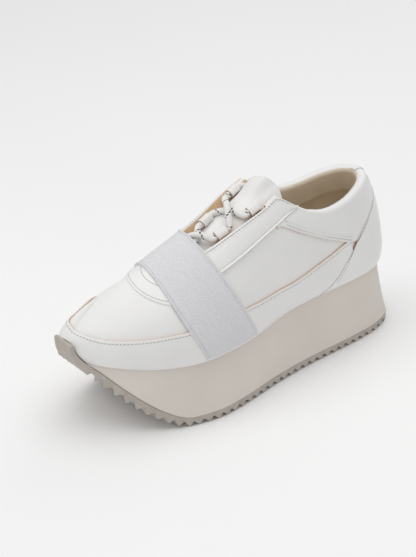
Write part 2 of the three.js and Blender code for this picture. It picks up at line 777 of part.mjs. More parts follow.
function makeTopCrossing() {
  const over = cordSolid([
    throughLoop("lace_loop_medial_top", MOUTH),
    throughLoop("lace_loop_medial_top", MOUTH + LACE_LEAD),
    overTongue(135, -1, 2.8),
    throughLoop("lace_loop_lateral_low", -MOUTH - LACE_LEAD),
    throughLoop("lace_loop_lateral_low", -MOUTH),
  ]);
  const under = cordSolid([
    throughLoop("lace_loop_lateral_top", MOUTH),
    throughLoop("lace_loop_lateral_top", MOUTH + LACE_LEAD),
    overTongue(134, -1, -1.3),
    throughLoop("lace_loop_medial_low", -MOUTH - LACE_LEAD),
    throughLoop("lace_loop_medial_low", -MOUTH),
  ]);
  return over.add(under);
}

function makeLowCrossing() {
  const over = cordSolid([
    throughLoop("lace_loop_lateral_low", MOUTH),
    throughLoop("lace_loop_lateral_low", MOUTH + LACE_LEAD),
    overTongue(159, 1, 1.4),
    overTongue(164, -6, -1.9),
    overTongue(170, -8.5, -2.9),
  ]);
  const under = cordSolid([
    throughLoop("lace_loop_medial_low", MOUTH),
    throughLoop("lace_loop_medial_low", MOUTH + LACE_LEAD),
    overTongue(159, -5, -0.6),
    overTongue(164, 0.5, -2.3),
    overTongue(170, 4, -2.9),
  ]);
  return over.add(under);
}

// The free end that leaves the top inner loop and dives behind the tongue.
function makeLaceEnd() {
  return cordSolid([
    throughLoop("lace_loop_medial_top", -MOUTH),
    throughLoop("lace_loop_medial_top", -MOUTH - LACE_LEAD),
    new THREE.Vector3(106.5, -13.5, 127),
    new THREE.Vector3(102.5, -12.5, 121),
  ]);
}

// ---------------------------------------------------------------- materials and assembly

const finish = (color, roughness, metalness = 0) =>
  new THREE.MeshStandardMaterial({ color, roughness, metalness });

const LEATHER = finish(0xeeedea, 0.45);
const ELASTIC = finish(0xd6d5d9, 0.85);
const FOAM = finish(0xc9c3bb, 0.7);
const RUBBER = finish(0x8f887e, 0.8);
const LINING = finish(0xb8a588, 0.8);
const CORD = finish(0xf0eeea, 0.8);

const shoe = new THREE.Group();
function addPiece(name, solid, material) {
  const mesh = new THREE.Mesh(geometryOf(solid), material);
  mesh.name = name;
  shoe.add(mesh);
  return mesh;
}

addPiece("outsole", makeOutsole(), RUBBER);
addPiece("midsole", makeMidsole(), FOAM);
addPiece("insole", makeInsole(), LINING);
addPiece("upper", makeUpper(), LEATHER);
addPiece("tongue", makeTongue(), LEATHER);
addPiece("elastic_strap", makeStrap(), ELASTIC);
for (const row of LOOPS) addPiece(row.name, makeLoop(row), LEATHER);
addPiece("lace_crossing_top", makeTopCrossing(), CORD);
addPiece("lace_crossing_low", makeLowCrossing(), CORD);
addPiece("lace_end", makeLaceEnd(), CORD);

// The origin is under the middle of the shoe, on the floor.
const box = new THREE.Box3().setFromObject(shoe);
shoe.position.set(-(box.min.x + box.max.x) / 2, -(box.min.y + box.max.y) / 2, -box.min.z);

export default shoe;
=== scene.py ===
# %% [markdown]
# # A platform sneaker, finished piece by piece
# A real shoe like this starts on a last: a solid foot shape that the leather is pulled over.
# This lesson does the same. One function gives any point of the last, and every panel, seam and
# stitch is laid on it by asking that function for places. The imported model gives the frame: its
# nodes say how large each piece is and where it sits, and nothing here moves or resizes it.

# %% Load the frame and keep its box
import math

import bpy
import numpy as np
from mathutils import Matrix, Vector


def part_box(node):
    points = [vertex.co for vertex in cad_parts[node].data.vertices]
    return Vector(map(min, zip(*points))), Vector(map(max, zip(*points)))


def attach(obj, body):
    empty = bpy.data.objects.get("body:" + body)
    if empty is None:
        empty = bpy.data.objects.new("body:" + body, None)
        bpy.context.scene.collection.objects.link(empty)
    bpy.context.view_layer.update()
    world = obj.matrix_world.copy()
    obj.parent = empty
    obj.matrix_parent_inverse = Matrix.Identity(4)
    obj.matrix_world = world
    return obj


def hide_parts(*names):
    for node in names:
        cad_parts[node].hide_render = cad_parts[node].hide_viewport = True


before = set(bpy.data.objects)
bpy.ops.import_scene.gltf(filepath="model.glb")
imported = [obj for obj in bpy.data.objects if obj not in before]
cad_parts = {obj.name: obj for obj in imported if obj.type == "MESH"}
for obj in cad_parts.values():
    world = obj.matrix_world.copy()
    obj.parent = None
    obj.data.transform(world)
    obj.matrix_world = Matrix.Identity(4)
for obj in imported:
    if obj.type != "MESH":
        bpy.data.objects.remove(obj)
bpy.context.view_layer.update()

# %% [markdown]
# ## Bench units
# A shoemaker measures in millimetres from the back of the heel, so the tables below do too: the
# station runs from heel to toe, the side distance is positive on the outer side, and heights start
# at the floor. The frame is in metres with its origin under the middle of the shoe. The outsole's
# box in the frame and the sole outline in the tables give the shift between the two.

# %% Tables of the sole and the last, in millimetres
MM = 0.001
SOLE_BACK, SOLE_TOE = -7.0, 277.0
FEATHER_BACK, FEATHER_TOE = 5.0, 269.5
RIDGE_BACK, RIDGE_TOE = 47.0, 237.0
TOE_LINE = -10.0  # side distance of the toe's point

SOLE_EDGE = np.array([  # station, lateral and medial half-width
    (4, 22.6, 21.5), (20, 30.6, 29.5), (37, 34, 33), (67, 36.6, 34.5), (97, 39, 34.5),
    (128, 43.6, 37), (159, 50, 41.5), (183, 53, 44.5), (204, 50, 45), (222, 43.8, 42.5),
    (240, 33.5, 36.5), (258, 17.5, 23.5), (269, 5, 16),
])
FEATHER_EDGE = np.array([  # where the upper meets the midsole: station and half-widths
    (14.5, 20.5, 19.5), (34, 29.6, 28.6), (69, 32.4, 31), (104, 33.4, 31), (144, 38.4, 34.5),
    (169, 41.2, 37.5), (196, 42.4, 39.5), (222, 37.6, 37), (244, 26, 29.5), (260, 11.5, 19.5),
])
FEATHER_HEIGHT = np.array([  # station, height
    (5, 52), (40, 52.3), (75, 51.6), (104, 49.8), (124, 47.2), (144, 43.7), (169, 42),
    (199, 43.3), (227, 46.8), (249, 50), (269.5, 53),
])
RIDGE = np.array([  # station, height, side, lateral and medial fullness of the section
    (47, 150, 0, 1.95, 1.95), (75, 149.5, 0, 2.0, 2.05), (95, 145, -1, 2.05, 2.4),
    (104, 141, -2, 2.05, 2.7), (121, 131.5, -4, 2.05, 2.9), (149, 117.5, -5, 1.9, 2.3),
    (169, 109.5, -6, 1.8, 1.9), (194, 100.5, -7, 1.85, 1.6), (213, 94.5, -8, 1.95, 1.5),
    (237, 86.5, -9, 2.3, 2.15),
])
COLLAR_LINE = np.array([  # station, height
    (-12, 121), (14, 120.5), (34, 116.5), (52, 112), (70, 110.8), (85, 115.2), (96, 121.5),
    (106, 127.5),
])
THROAT = np.array([  # station, lateral and medial edge from the middle line
    (92, 15, 21), (106, 14.5, 21), (121, 14.5, 19.5), (149, 12.5, 14.5), (168, 11, 12.5),
    (180, 6, 11), (186, 0, 7),
])
TONGUE = np.array([  # station, lateral and medial edge from the middle line
    (101, 18.5, -13), (102.5, 20, -9), (105, 20.5, -3), (107.5, 20.5, 3), (110.5, 20.5, 11),
    (114, 20, 17), (119, 19.5, 22), (140, 18.5, 21.5), (175, 14, 17.5), (196, 6, 15),
])
STRAP_EDGE = np.array([  # height, station of the rear and the front edge
    (30, 132.5, 178.5), (43, 138, 185.4), (55, 143.8, 191.8), (68, 149.8, 198), (80, 155.2, 202.4),
    (90, 159.8, 204.8), (100, 164.2, 206), (120, 173, 206.5),
])
print("tables:", len(SOLE_EDGE), "sole rows,", len(RIDGE), "ridge rows")


# %% Smooth curves through the tables
def smooth_curve(knots, values, where):
    """Cubic Hermite spans through the knots, each slope taken from the two neighbours."""
    knots, values = np.asarray(knots, float), np.asarray(values, float)
    slopes = np.gradient(values, knots, edge_order=1)
    slopes[1:-1] = (values[2:] - values[:-2]) / (knots[2:] - knots[:-2])
    t = np.clip(where, knots[0], knots[-1])
    i = np.clip(np.searchsorted(knots, t, side="right") - 1, 0, len(knots) - 2)
    span = knots[i + 1] - knots[i]
    u = (t - knots[i]) / span
    rising = u * u * (3 - 2 * u)
    return (
        values[i] * (1 - rising)
        + values[i + 1] * rising
        + slopes[i] * span * (u**3 - 2 * u**2 + u)
        + slopes[i + 1] * span * (u**3 - u**2)
    )


def from_table(table, where, column=1):
    """A smooth curve through one column of a table, read against its first column."""
    return smooth_curve(table[:, 0], table[:, column], where)


def ease(low, high, value):
    """0 below low, 1 above high, and a smooth step between: u squared times (3 - 2u)."""
    u = np.clip((value - low) / (high - low), 0, 1)
    return u * u * (3 - 2 * u)


def quarter_round(share):
    """Height of a quarter circle, sqrt(1 - (1 - share)^2): 0 at share 0, and 1 from share 1 on."""
    return np.sqrt(np.clip(1 - (1 - np.clip(share, 0, 1)) ** 2, 0, 1))


def bell(place, middle, width):
    """exp(-((place - middle) / width) squared): a soft rib or groove of height 1."""
    return np.exp(-(((place - middle) / width) ** 2))


def distance_along(path):
    """Distance from the start of a path to each of its points."""
    return np.concatenate([[0], np.cumsum(np.linalg.norm(np.diff(path, axis=0), axis=1))])


# %% Outlines and the two heights
def outline(table, back, toe):
    """A closed outline: angle 0 is the heel, pi the toe, and the station is
    back + length (1 - cos angle) / 2, so that both ends come out round."""
    length = toe - back
    angles = np.arccos(1 - 2 * (table[:, 0] - back) / length)
    knots = np.concatenate([[0], angles, [np.pi], (2 * np.pi - angles)[::-1]])
    sides = np.concatenate([[0], table[:, 1], [TOE_LINE], -table[::-1, 2]])
    knots = np.concatenate([knots - 2 * np.pi, knots, knots + 2 * np.pi])
    sides = np.concatenate([sides, sides, sides])

    def edge(angle):
        """Station and side distance at an angle round the outline."""
        angle = np.mod(angle, 2 * np.pi)
        return back + length * (1 - np.cos(angle)) / 2, smooth_curve(knots, sides, angle)

    return edge


sole_edge = outline(SOLE_EDGE, SOLE_BACK, SOLE_TOE)
feather_edge = outline(FEATHER_EDGE, FEATHER_BACK, FEATHER_TOE)


def feather_height(station):
    """Height of the feather line, where the upper meets the midsole."""
    return from_table(FEATHER_HEIGHT, station)


def ridge(station, column):
    """One column of the ridge table at a station."""
    return from_table(RIDGE, station, column)


# %% Shift from the bench to the frame
full_circle = np.linspace(0, 2 * np.pi, 2881)
outsole_low, outsole_high = (np.array(corner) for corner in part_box("outsole"))
BENCH_SHIFT = np.array([
    outsole_low[0] / MM - SOLE_BACK,
    outsole_high[1] / MM - sole_edge(full_circle)[1].max(),
    0.0,
])


def to_frame(points):
    """Bench millimetres to frame metres: (point + shift) times 0.001."""
    return (np.asarray(points, float) + BENCH_SHIFT) * MM


print("bench shift in mm:", BENCH_SHIFT.round(2))

# %% [markdown]
# ## Camera
# The view is a three-quarter one from above the toe, on the outer side of the left shoe, from
# about 1.2 m. A long lens keeps the shoe from looking swollen at the near end. The camera is made
# first.

# %% Make the camera
IMAGE_LONG_SIDE = 557.0
VIEW_TURN, VIEW_RISE, VIEW_DISTANCE = 38.6, 29.0, 1.190
SENSOR_WIDTH, FOCAL_SCALE = 36, 1698.1  # the scale is the focal length in image units
SHIFT_RIGHT, SHIFT_UP = -17.0, 18.8
VIEW_AIM = (140, 0, 55)
aim = Vector(to_frame(VIEW_AIM))
turn_angle, rise_angle = math.radians(VIEW_TURN), math.radians(VIEW_RISE)
towards_camera = Vector((
    math.sin(turn_angle) * math.cos(rise_angle),
    math.cos(turn_angle) * math.cos(rise_angle),
    math.sin(rise_angle),
))
camera_data = bpy.data.cameras.new("shoe_camera")
camera_data.lens = FOCAL_SCALE * SENSOR_WIDTH / IMAGE_LONG_SIDE
camera_data.sensor_fit = "AUTO"
camera_data.sensor_width = SENSOR_WIDTH
camera_data.shift_x = SHIFT_RIGHT / IMAGE_LONG_SIDE
camera_data.shift_y = SHIFT_UP / IMAGE_LONG_SIDE
camera_data.clip_end = 20
camera = bpy.data.objects.new("shoe_camera", camera_data)
camera.location = aim + towards_camera * VIEW_DISTANCE
camera.rotation_mode = "QUATERNION"
camera.rotation_quaternion = (-towards_camera).to_track_quat("-Z", "Y")
bpy.context.scene.collection.objects.link(camera)
bpy.context.scene.camera = camera
print("camera at", [round(v, 3) for v in camera.location])

# %% [markdown]
# ## Ground line
# The sole stands flat from the heel to the ball, then rocks up towards the toe, and at the very
# front the outsole turns up as a bumper. This line is walked in small even steps; distances above
# it are measured square to it, so the lugs and the rubber's thickness follow the rocker.

# %% Walk the ground line
ROCKER_START, ROCKER_REACH, ROCKER_RISE, ROCKER_POWER = 206.0, 73.0, 62.5, 1.62
BUMPER_START, BUMPER_LENGTH, BUMPER_RADIUS, BUMPER_TIP = 267.0, 19.0, 28.6, 3.6
OUTSOLE_BASE, LUG_DEPTH, LUG_PITCH, OUTSOLE_PROUD = 3.2, 3.2, 7.5, 0.8
BUMPER_THINS_OVER = 10.0
GAP = 0.3  # air between the sole's layers, and between them and the upper
GUARD_FROM, GUARD_LEAN = 240.0, 1.2  # where the upper's toe is held behind the bumper
GROUND_STEPS, BUMPER_STEPS, ENVELOPE_STEPS = 6000, 200, 3000


def rocker_height(station):
    """Height of the ground line: rise times ((station - start) / reach) to a power."""
    return ROCKER_RISE * np.maximum(0, (station - ROCKER_START) / ROCKER_REACH) ** ROCKER_POWER


stations = np.linspace(SOLE_BACK - 1, BUMPER_START, GROUND_STEPS)
heights = rocker_height(stations)
run = np.concatenate([[0], np.cumsum(np.hypot(np.diff(stations), np.diff(heights)))])
TEETH_END = run[-1]
slope = np.arctan(np.gradient(heights, stations))
along = np.linspace(0, BUMPER_LENGTH, BUMPER_STEPS)[1:]
bend = slope[-1] + along / BUMPER_RADIUS
run = np.concatenate([run, run[-1] + along])
ground_x = np.concatenate([stations, BUMPER_START + BUMPER_RADIUS * (np.sin(bend) - np.sin(slope[-1]))])
ground_z = np.concatenate([heights, heights[-1] + BUMPER_RADIUS * (np.cos(slope[-1]) - np.cos(bend))])
ground_angle = np.concatenate([slope, bend])
RUN_END = run[-1]


def above_ground(where, distance):
    """Station and height of a point square above the ground line."""
    angle = np.interp(where, run, ground_angle)
    x = np.interp(where, run, ground_x) - np.sin(angle) * distance
    return x, np.interp(where, run, ground_z) + np.cos(angle) * distance


def outsole_thickness(where):
    """Rubber thickness, thinning towards the bumper's tip."""
    full = OUTSOLE_BASE + LUG_DEPTH
    return full + (BUMPER_TIP - full) * ease(TEETH_END - BUMPER_THINS_OVER, RUN_END, where)


envelope_runs = np.linspace(0, RUN_END, ENVELOPE_STEPS)
envelope_x, envelope_z = above_ground(envelope_runs, outsole_thickness(envelope_runs) + GAP)


def outsole_top(station):
    """Height of the outsole's upper face under a station."""
    return np.interp(station, envelope_x, envelope_z)


def behind_bumper(points):
    """Points kept behind the outsole's upper face at the toe: the station is at most the face's
    station at the same height, and above the bumper's tip that limit moves forward again."""
    over_tip = np.maximum(points[..., 2] - envelope_z[-1], 0)
    limit = np.interp(points[..., 2], envelope_z, envelope_x) - GAP + GUARD_LEAN * over_tip
    kept = points.copy()
    held = np.minimum(points[..., 0], limit)
    kept[..., 0] = np.where(points[..., 0] > GUARD_FROM, held, points[..., 0])
    return kept


print("ground line:", round(RUN_END, 1), "mm from heel to bumper tip")

# %% [markdown]
# ## The last
# The outer surface of the upper is a family of quarter superellipses. Each one climbs from a point
# of the feather line to a point of the ridge, and bulges a little low down, as pulled leather does.
# "turn" goes from 0 at the heel to pi at the toe, and "climb" goes from 0 at the outer feather line
# over 1 at the ridge to 2 at the inner feather line, so panels may cross the ridge without a seam.

# %% The last's surface and its normal
SWELL, SWELL_HEIGHT = 2.6, 15.0


def last_point(turn, climb):
    """The quarter superellipse: inward = 1 - cos^p, upward = sin^p, with p = 2 / fullness, plus a
    swell of h e^(1 - h) low down, and a lean that leaves the ridge along the ridge's own slope."""
    turn, climb = np.broadcast_arrays(np.asarray(turn, float), np.asarray(climb, float))
    rise = np.clip(np.where(climb > 1, 2 - climb, climb), 0, 1)
    angle = np.mod(np.where(climb > 1, -turn, turn), 2 * np.pi)
    inner = angle > np.pi
    station, side = feather_edge(angle)
    share = (1 - np.cos(turn)) / 2
    crest_x = RIDGE_BACK + (RIDGE_TOE - RIDGE_BACK) * share
    crest_y = ridge(crest_x, 2)
    crest_z = ridge(crest_x, 1)
    slope = (ridge(crest_x + 1, 1) - ridge(crest_x - 1, 1)) / 2
    power = 2 / np.where(inner, ridge(crest_x, 4), ridge(crest_x, 3))
    quarter = rise * np.pi / 2
    cosine = np.maximum(np.cos(quarter), 0)
    inward = 1 - np.where(cosine < 1e-9, 0, cosine**power)
    upward = np.sin(quarter) ** power
    foot = feather_height(station)
    height = (crest_z - foot) * upward
    reach = np.hypot(crest_x - station, crest_y - side)
    swell = SWELL * (height / SWELL_HEIGHT) * np.exp(1 - height / SWELL_HEIGHT) * cosine**0.5
    along = inward - swell / reach
    x = station + (crest_x - station) * along
    y = side + (crest_y - side) * along
    return np.stack([x, y, foot + height + slope * (x - crest_x) * upward**2], -1)


def unit(vectors):
    """Each vector divided by its own length."""
    return vectors / np.maximum(np.linalg.norm(vectors, axis=-1, keepdims=True), 1e-12)


def last_normal(turn, climb, step=0.004):
    """The outward normal: the cross product of the two central differences."""
    up = last_point(turn, climb + step) - last_point(turn, climb - step)
    ahead = last_point(turn + step, climb) - last_point(turn - step, climb)
    return unit(np.cross(up, ahead))


# %% [markdown]
# ## Creases
# Leather that has been worn or lasted is never quite even. A few soft troughs and ridges are listed,
# each a line from one station and side to another with a depth and a width, and every panel shares
# them because they move the last itself.

# %% Soft troughs and ridges
CREASES = np.array([  # from (station, side), to (station, side), depth, half-width
    (214, 34, 226, 8, -0.25, 6),
    (232, 24, 240, 10, 0.2, 7),
    (219, -14, 207, -34, -0.3, 6),
    (122, 34, 150, 27, -0.45, 6),
    (104, 33, 126, 26, -0.35, 5),
    (128, 36, 150, 33, 0.35, 7),
    (60, 33, 88, 31, -0.3, 6),
    (30, 28, 44, 31, -0.3, 7),
])


def crease_lift(points):
    """Sum over the creases of depth times exp(-(distance from the line / half-width) squared),
    with distances seen from above."""
    lift = np.zeros(points.shape[:-1])
    for x0, y0, x1, y1, depth, width in CREASES:
        run = np.array([x1 - x0, y1 - y0])
        from_start = points[..., :2] - np.array([x0, y0])
        share = np.clip((from_start @ run) / (run @ run), 0, 1)
        gap = np.linalg.norm(from_start - share[..., None] * run, axis=-1)
        lift += depth * bell(gap, 0, width)
    return lift


# %% The upper's surface, lifted where asked
def on_side(rise, inner):
    """The climb for a share of the rise: the share itself outside, 2 - share on the inner side."""
    return np.where(inner, 2 - rise, rise)


def skin(turn, climb, lift=0.0):
    """A point of the upper's outer surface, moved outwards by lift millimetres."""
    turn, climb = np.broadcast_arrays(np.asarray(turn, float), np.asarray(climb, float))
    points = last_point(turn, climb)
    lift = np.broadcast_to(np.asarray(lift, float), turn.shape) + crease_lift(points)
    return behind_bumper(points + last_normal(turn, climb) * lift[..., None])


def ring_skin(angle, rise, lift=0.0):
    """The same surface by the angle round the shoe: outer side below pi, inner side above it."""
    angle = np.mod(np.asarray(angle, float) + 1e-9, 2 * np.pi)
    angle, rise = np.broadcast_arrays(angle, np.asarray(rise, float))
    inner = angle > np.pi
    return skin(np.where(inner, 2 * np.pi - angle, angle), on_side(rise, inner), lift)


# %% Find a surface point from above
NEWTON_STEPS, NEWTON_REACH, NEWTON_PROBE = 14, 0.04, 0.003
CLIMB_LIMITS = (0.05, 1.95)
COARSE_TURNS, COARSE_CLIMBS = np.linspace(0.7, 2.9, 90), np.linspace(0.3, 1.7, 90)


def spot_from_above(x, y):
    """turn and climb of the surface point at station x and side y, by Newton steps that start at
    the nearest point of a coarse grid."""
    x, y = np.broadcast_arrays(np.asarray(x, float), np.asarray(y, float))
    turns, climbs = np.meshgrid(COARSE_TURNS, COARSE_CLIMBS, indexing="ij")
    coarse = last_point(turns, climbs)[..., :2].reshape(-1, 2)
    wanted = np.stack([x.ravel(), y.ravel()], -1)
    nearest = np.linalg.norm(coarse[None] - wanted[:, None], axis=-1).argmin(1)
    turn, climb = turns.ravel()[nearest], climbs.ravel()[nearest]
    step = NEWTON_PROBE
    for _ in range(NEWTON_STEPS):
        miss = wanted - last_point(turn, climb)[:, :2]
        by_turn = (last_point(turn + step, climb) - last_point(turn - step, climb))[:, :2] / (2 * step)
        by_climb = (last_point(turn, climb + step) - last_point(turn, climb - step))[:, :2] / (2 * step)
        area = by_turn[:, 0] * by_climb[:, 1] - by_turn[:, 1] * by_climb[:, 0]
        area = np.where(np.abs(area) < 1, np.sign(area + 1e-9), area)
        turn_step = (miss[:, 0] * by_climb[:, 1] - miss[:, 1] * by_climb[:, 0]) / area
        climb_step = (by_turn[:, 0] * miss[:, 1] - by_turn[:, 1] * miss[:, 0]) / area
        turn = turn + np.clip(turn_step, -NEWTON_REACH, NEWTON_REACH)
        climb = np.clip(climb + np.clip(climb_step, -NEWTON_REACH, NEWTON_REACH), *CLIMB_LIMITS)
    return turn.reshape(x.shape), climb.reshape(x.shape)


print("ridge point over the instep:", last_point(1.6, 1.0).round(1))

# %% [markdown]
# ## From points to a mesh
# Each piece is a grid of points, worked out as one array. The helpers join the grid's cells into
# faces, give a sheet its thickness by adding an inner copy and the rim between them, and hand the
# arrays to Blender in one call.


# %% Grid faces, thickness and pieces
def grid_faces(rows, columns, wrap=False):
    """Quads of a grid; with wrap the last column joins the first. A face's normal is the row
    direction crossed with the column direction."""
    index = np.arange(rows * columns).reshape(rows, columns)
    ahead = np.roll(index, -1, axis=1) if wrap else index[:, 1:]
    here = index if wrap else index[:, :-1]
    return np.stack([here[:-1], here[1:], ahead[1:], ahead[:-1]], -1).reshape(-1, 4)


def merge_points(points, faces, tolerance=0.01):
    """Points that share a rounded place become one; faces point at what is left."""
    keys = np.round(points / tolerance).astype(np.int64)
    _, first, where = np.unique(keys, axis=0, return_index=True, return_inverse=True)
    return first, where.reshape(-1)[faces]


def rim_edges(faces):
    """Directed edges that only one face has."""
    starts, ends = faces.ravel(), np.roll(faces, -1, axis=1).ravel()
    real = starts != ends
    starts, ends = starts[real], ends[real]
    size = int(faces.max()) + 1
    forward, backward = starts * size + ends, ends * size + starts
    free = ~np.isin(forward, backward)
    return starts[free], ends[free]


def thicken(outer, inner, faces):
    """A closed solid from a sheet: its outer points, as many inner points, and the rim between.
    Returns points, faces and a number for each face: 0 outside, 1 inside, 2 rim."""
    outer, inner = outer.reshape(-1, 3), inner.reshape(-1, 3)
    count = len(outer)
    starts, ends = rim_edges(faces)
    rim = np.stack([ends, starts, starts + count, ends + count], -1)
    every = np.concatenate([faces, faces[:, ::-1] + count, rim])
    part = np.repeat([0, 1, 2], [len(faces), len(faces), len(rim)])
    return np.concatenate([outer, inner]), every, part


# %% One piece from points and faces
def make_piece(name, points, faces, materials, part=None, fields=None, sharp=35):
    """A mesh object from bench points and quads; quads with a doubled corner become triangles."""
    keep = faces != np.roll(faces, -1, axis=1)
    totals = keep.sum(1)
    whole = totals >= 3
    keep, totals, quads = keep[whole], totals[whole], faces[whole]
    corners = quads[keep]
    mesh = bpy.data.meshes.new(name)
    mesh.vertices.add(len(points))
    mesh.vertices.foreach_set("co", to_frame(points).astype(np.float32).ravel())
    mesh.loops.add(len(corners))
    mesh.loops.foreach_set("vertex_index", corners.astype(np.int32))
    mesh.polygons.add(len(quads))
    starts = np.concatenate([[0], np.cumsum(totals)[:-1]])
    mesh.polygons.foreach_set("loop_start", starts.astype(np.int32))
    for material in materials:
        mesh.materials.append(material)
    if part is not None:
        mesh.polygons.foreach_set("material_index", part[whole].astype(np.int32))
    mesh.update(calc_edges=True)
    mesh.validate()
    for field, values in (fields or {}).items():
        store = mesh.attributes.new(field, "FLOAT_VECTOR", "POINT")
        store.data.foreach_set("vector", values.astype(np.float32).ravel())
    mesh.shade_smooth()
    mesh.set_sharp_from_angle(angle=math.radians(sharp))
    piece = bpy.data.objects.new(name, mesh)
    bpy.context.scene.collection.objects.link(piece)
    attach(piece, "root")
    print(f"{name}: {len(points)} points, {len(quads)} faces")
    return piece


def sheet(name, top, under, materials, looks=(0, 0, 0), flip=False, **more):
    """A sheet with thickness as one piece, from the grids of its two sides. looks are the material
    numbers of its face, which may be one for each face, of its back and of its rim."""
    faces = grid_faces(*top.shape[:2])
    faces = faces[:, ::-1] if flip else faces
    points, every, part = thicken(top, under, faces)
    look = np.array([0, looks[1], looks[2]])[part]
    look[: len(faces)] = looks[0]
    return make_piece(name, points, every, materials, look, **more)


# %% Cords and even paths
def tube(path, radius, around=20, tip=0.35):
    """A round cord: rings of points square to the path, closed by two small domes. Returns
    points, faces and (cos, sin, distance in metres) of each point for a helical pattern."""
    path = np.asarray(path, float)
    run = distance_along(path)
    ahead = unit(np.gradient(path, axis=0))
    side = unit(np.cross(ahead, (0.0, 0.0, 1.0)))
    over = np.cross(side, ahead)
    dome = np.array([0.0, 0.5, 0.85])
    scale = np.concatenate([dome, np.ones(len(path)), dome[::-1]])
    shift = radius * tip * np.array([1.0, 0.85, 0.45])
    centres = np.concatenate([
        path[0] - shift[:, None] * ahead[0], path, path[-1] + shift[::-1, None] * ahead[-1],
    ])
    run = np.concatenate([-shift, run, run[-1] + shift[::-1]])
    side = np.concatenate([np.repeat(side[:1], 3, 0), side, np.repeat(side[-1:], 3, 0)])
    over = np.concatenate([np.repeat(over[:1], 3, 0), over, np.repeat(over[-1:], 3, 0)])
    angle = np.arange(around) * 2 * np.pi / around
    ring = np.cos(angle)[None, :, None] * side[:, None] + np.sin(angle)[None, :, None] * over[:, None]
    points = centres[:, None] + radius * scale[:, None, None] * ring
    field = np.stack(np.broadcast_arrays(np.cos(angle)[None], np.sin(angle)[None], run[:, None] * MM), -1)
    faces = grid_faces(len(centres), around, wrap=True)
    return points.reshape(-1, 3), faces, field.reshape(-1, 3)


def rounded_path(points, spacing=0.8):
    """A centripetal Catmull-Rom curve through the points, resampled at even steps."""
    points = np.asarray(points, float)
    points = np.concatenate([[2 * points[0] - points[1]], points, [2 * points[-1] - points[-2]]])
    knots = np.concatenate([[0], np.cumsum(np.linalg.norm(np.diff(points, axis=0), axis=1) ** 0.5)])
    curve = []
    for i in range(1, len(points) - 2):
        t = np.linspace(knots[i], knots[i + 1], 40)[:, None]
        k0, k1, k2, k3 = knots[i - 1 : i + 3]
        p0, p1, p2, p3 = points[i - 1 : i + 3]
        a1 = (k1 - t) / (k1 - k0) * p0 + (t - k0) / (k1 - k0) * p1
        a2 = (k2 - t) / (k2 - k1) * p1 + (t - k1) / (k2 - k1) * p2
        a3 = (k3 - t) / (k3 - k2) * p2 + (t - k2) / (k3 - k2) * p3
        b1 = (k2 - t) / (k2 - k0) * a1 + (t - k0) / (k2 - k0) * a2
        b2 = (k3 - t) / (k3 - k1) * a2 + (t - k1) / (k3 - k1) * a3
        curve.append(((k2 - t) / (k2 - k1) * b1 + (t - k1) / (k2 - k1) * b2)[:-1])
    curve = np.concatenate([*curve, points[-2:-1]])
    return even_steps(curve, spacing)


def even_steps(path, spacing):
    """The same path with points at equal distances, about spacing apart."""
    run = distance_along(path)
    count = max(3, int(round(run[-1] / spacing)) + 1)
    where = np.linspace(0, run[-1], count)
    return np.stack([np.interp(where, run, path[:, k]) for k in range(path.shape[1])], -1)


# %% [markdown]
# ## Finishes
# White shoes are all in the shading: the leather, the foam and the elastic are close in colour and
# differ in gloss, grain and warmth. Each finish is built from small noise and wave nodes on object
# coordinates: one for colour, one for roughness and one for relief, each at the scale of the real
# thing. Values that are the same everywhere sit on the shader's own sockets.


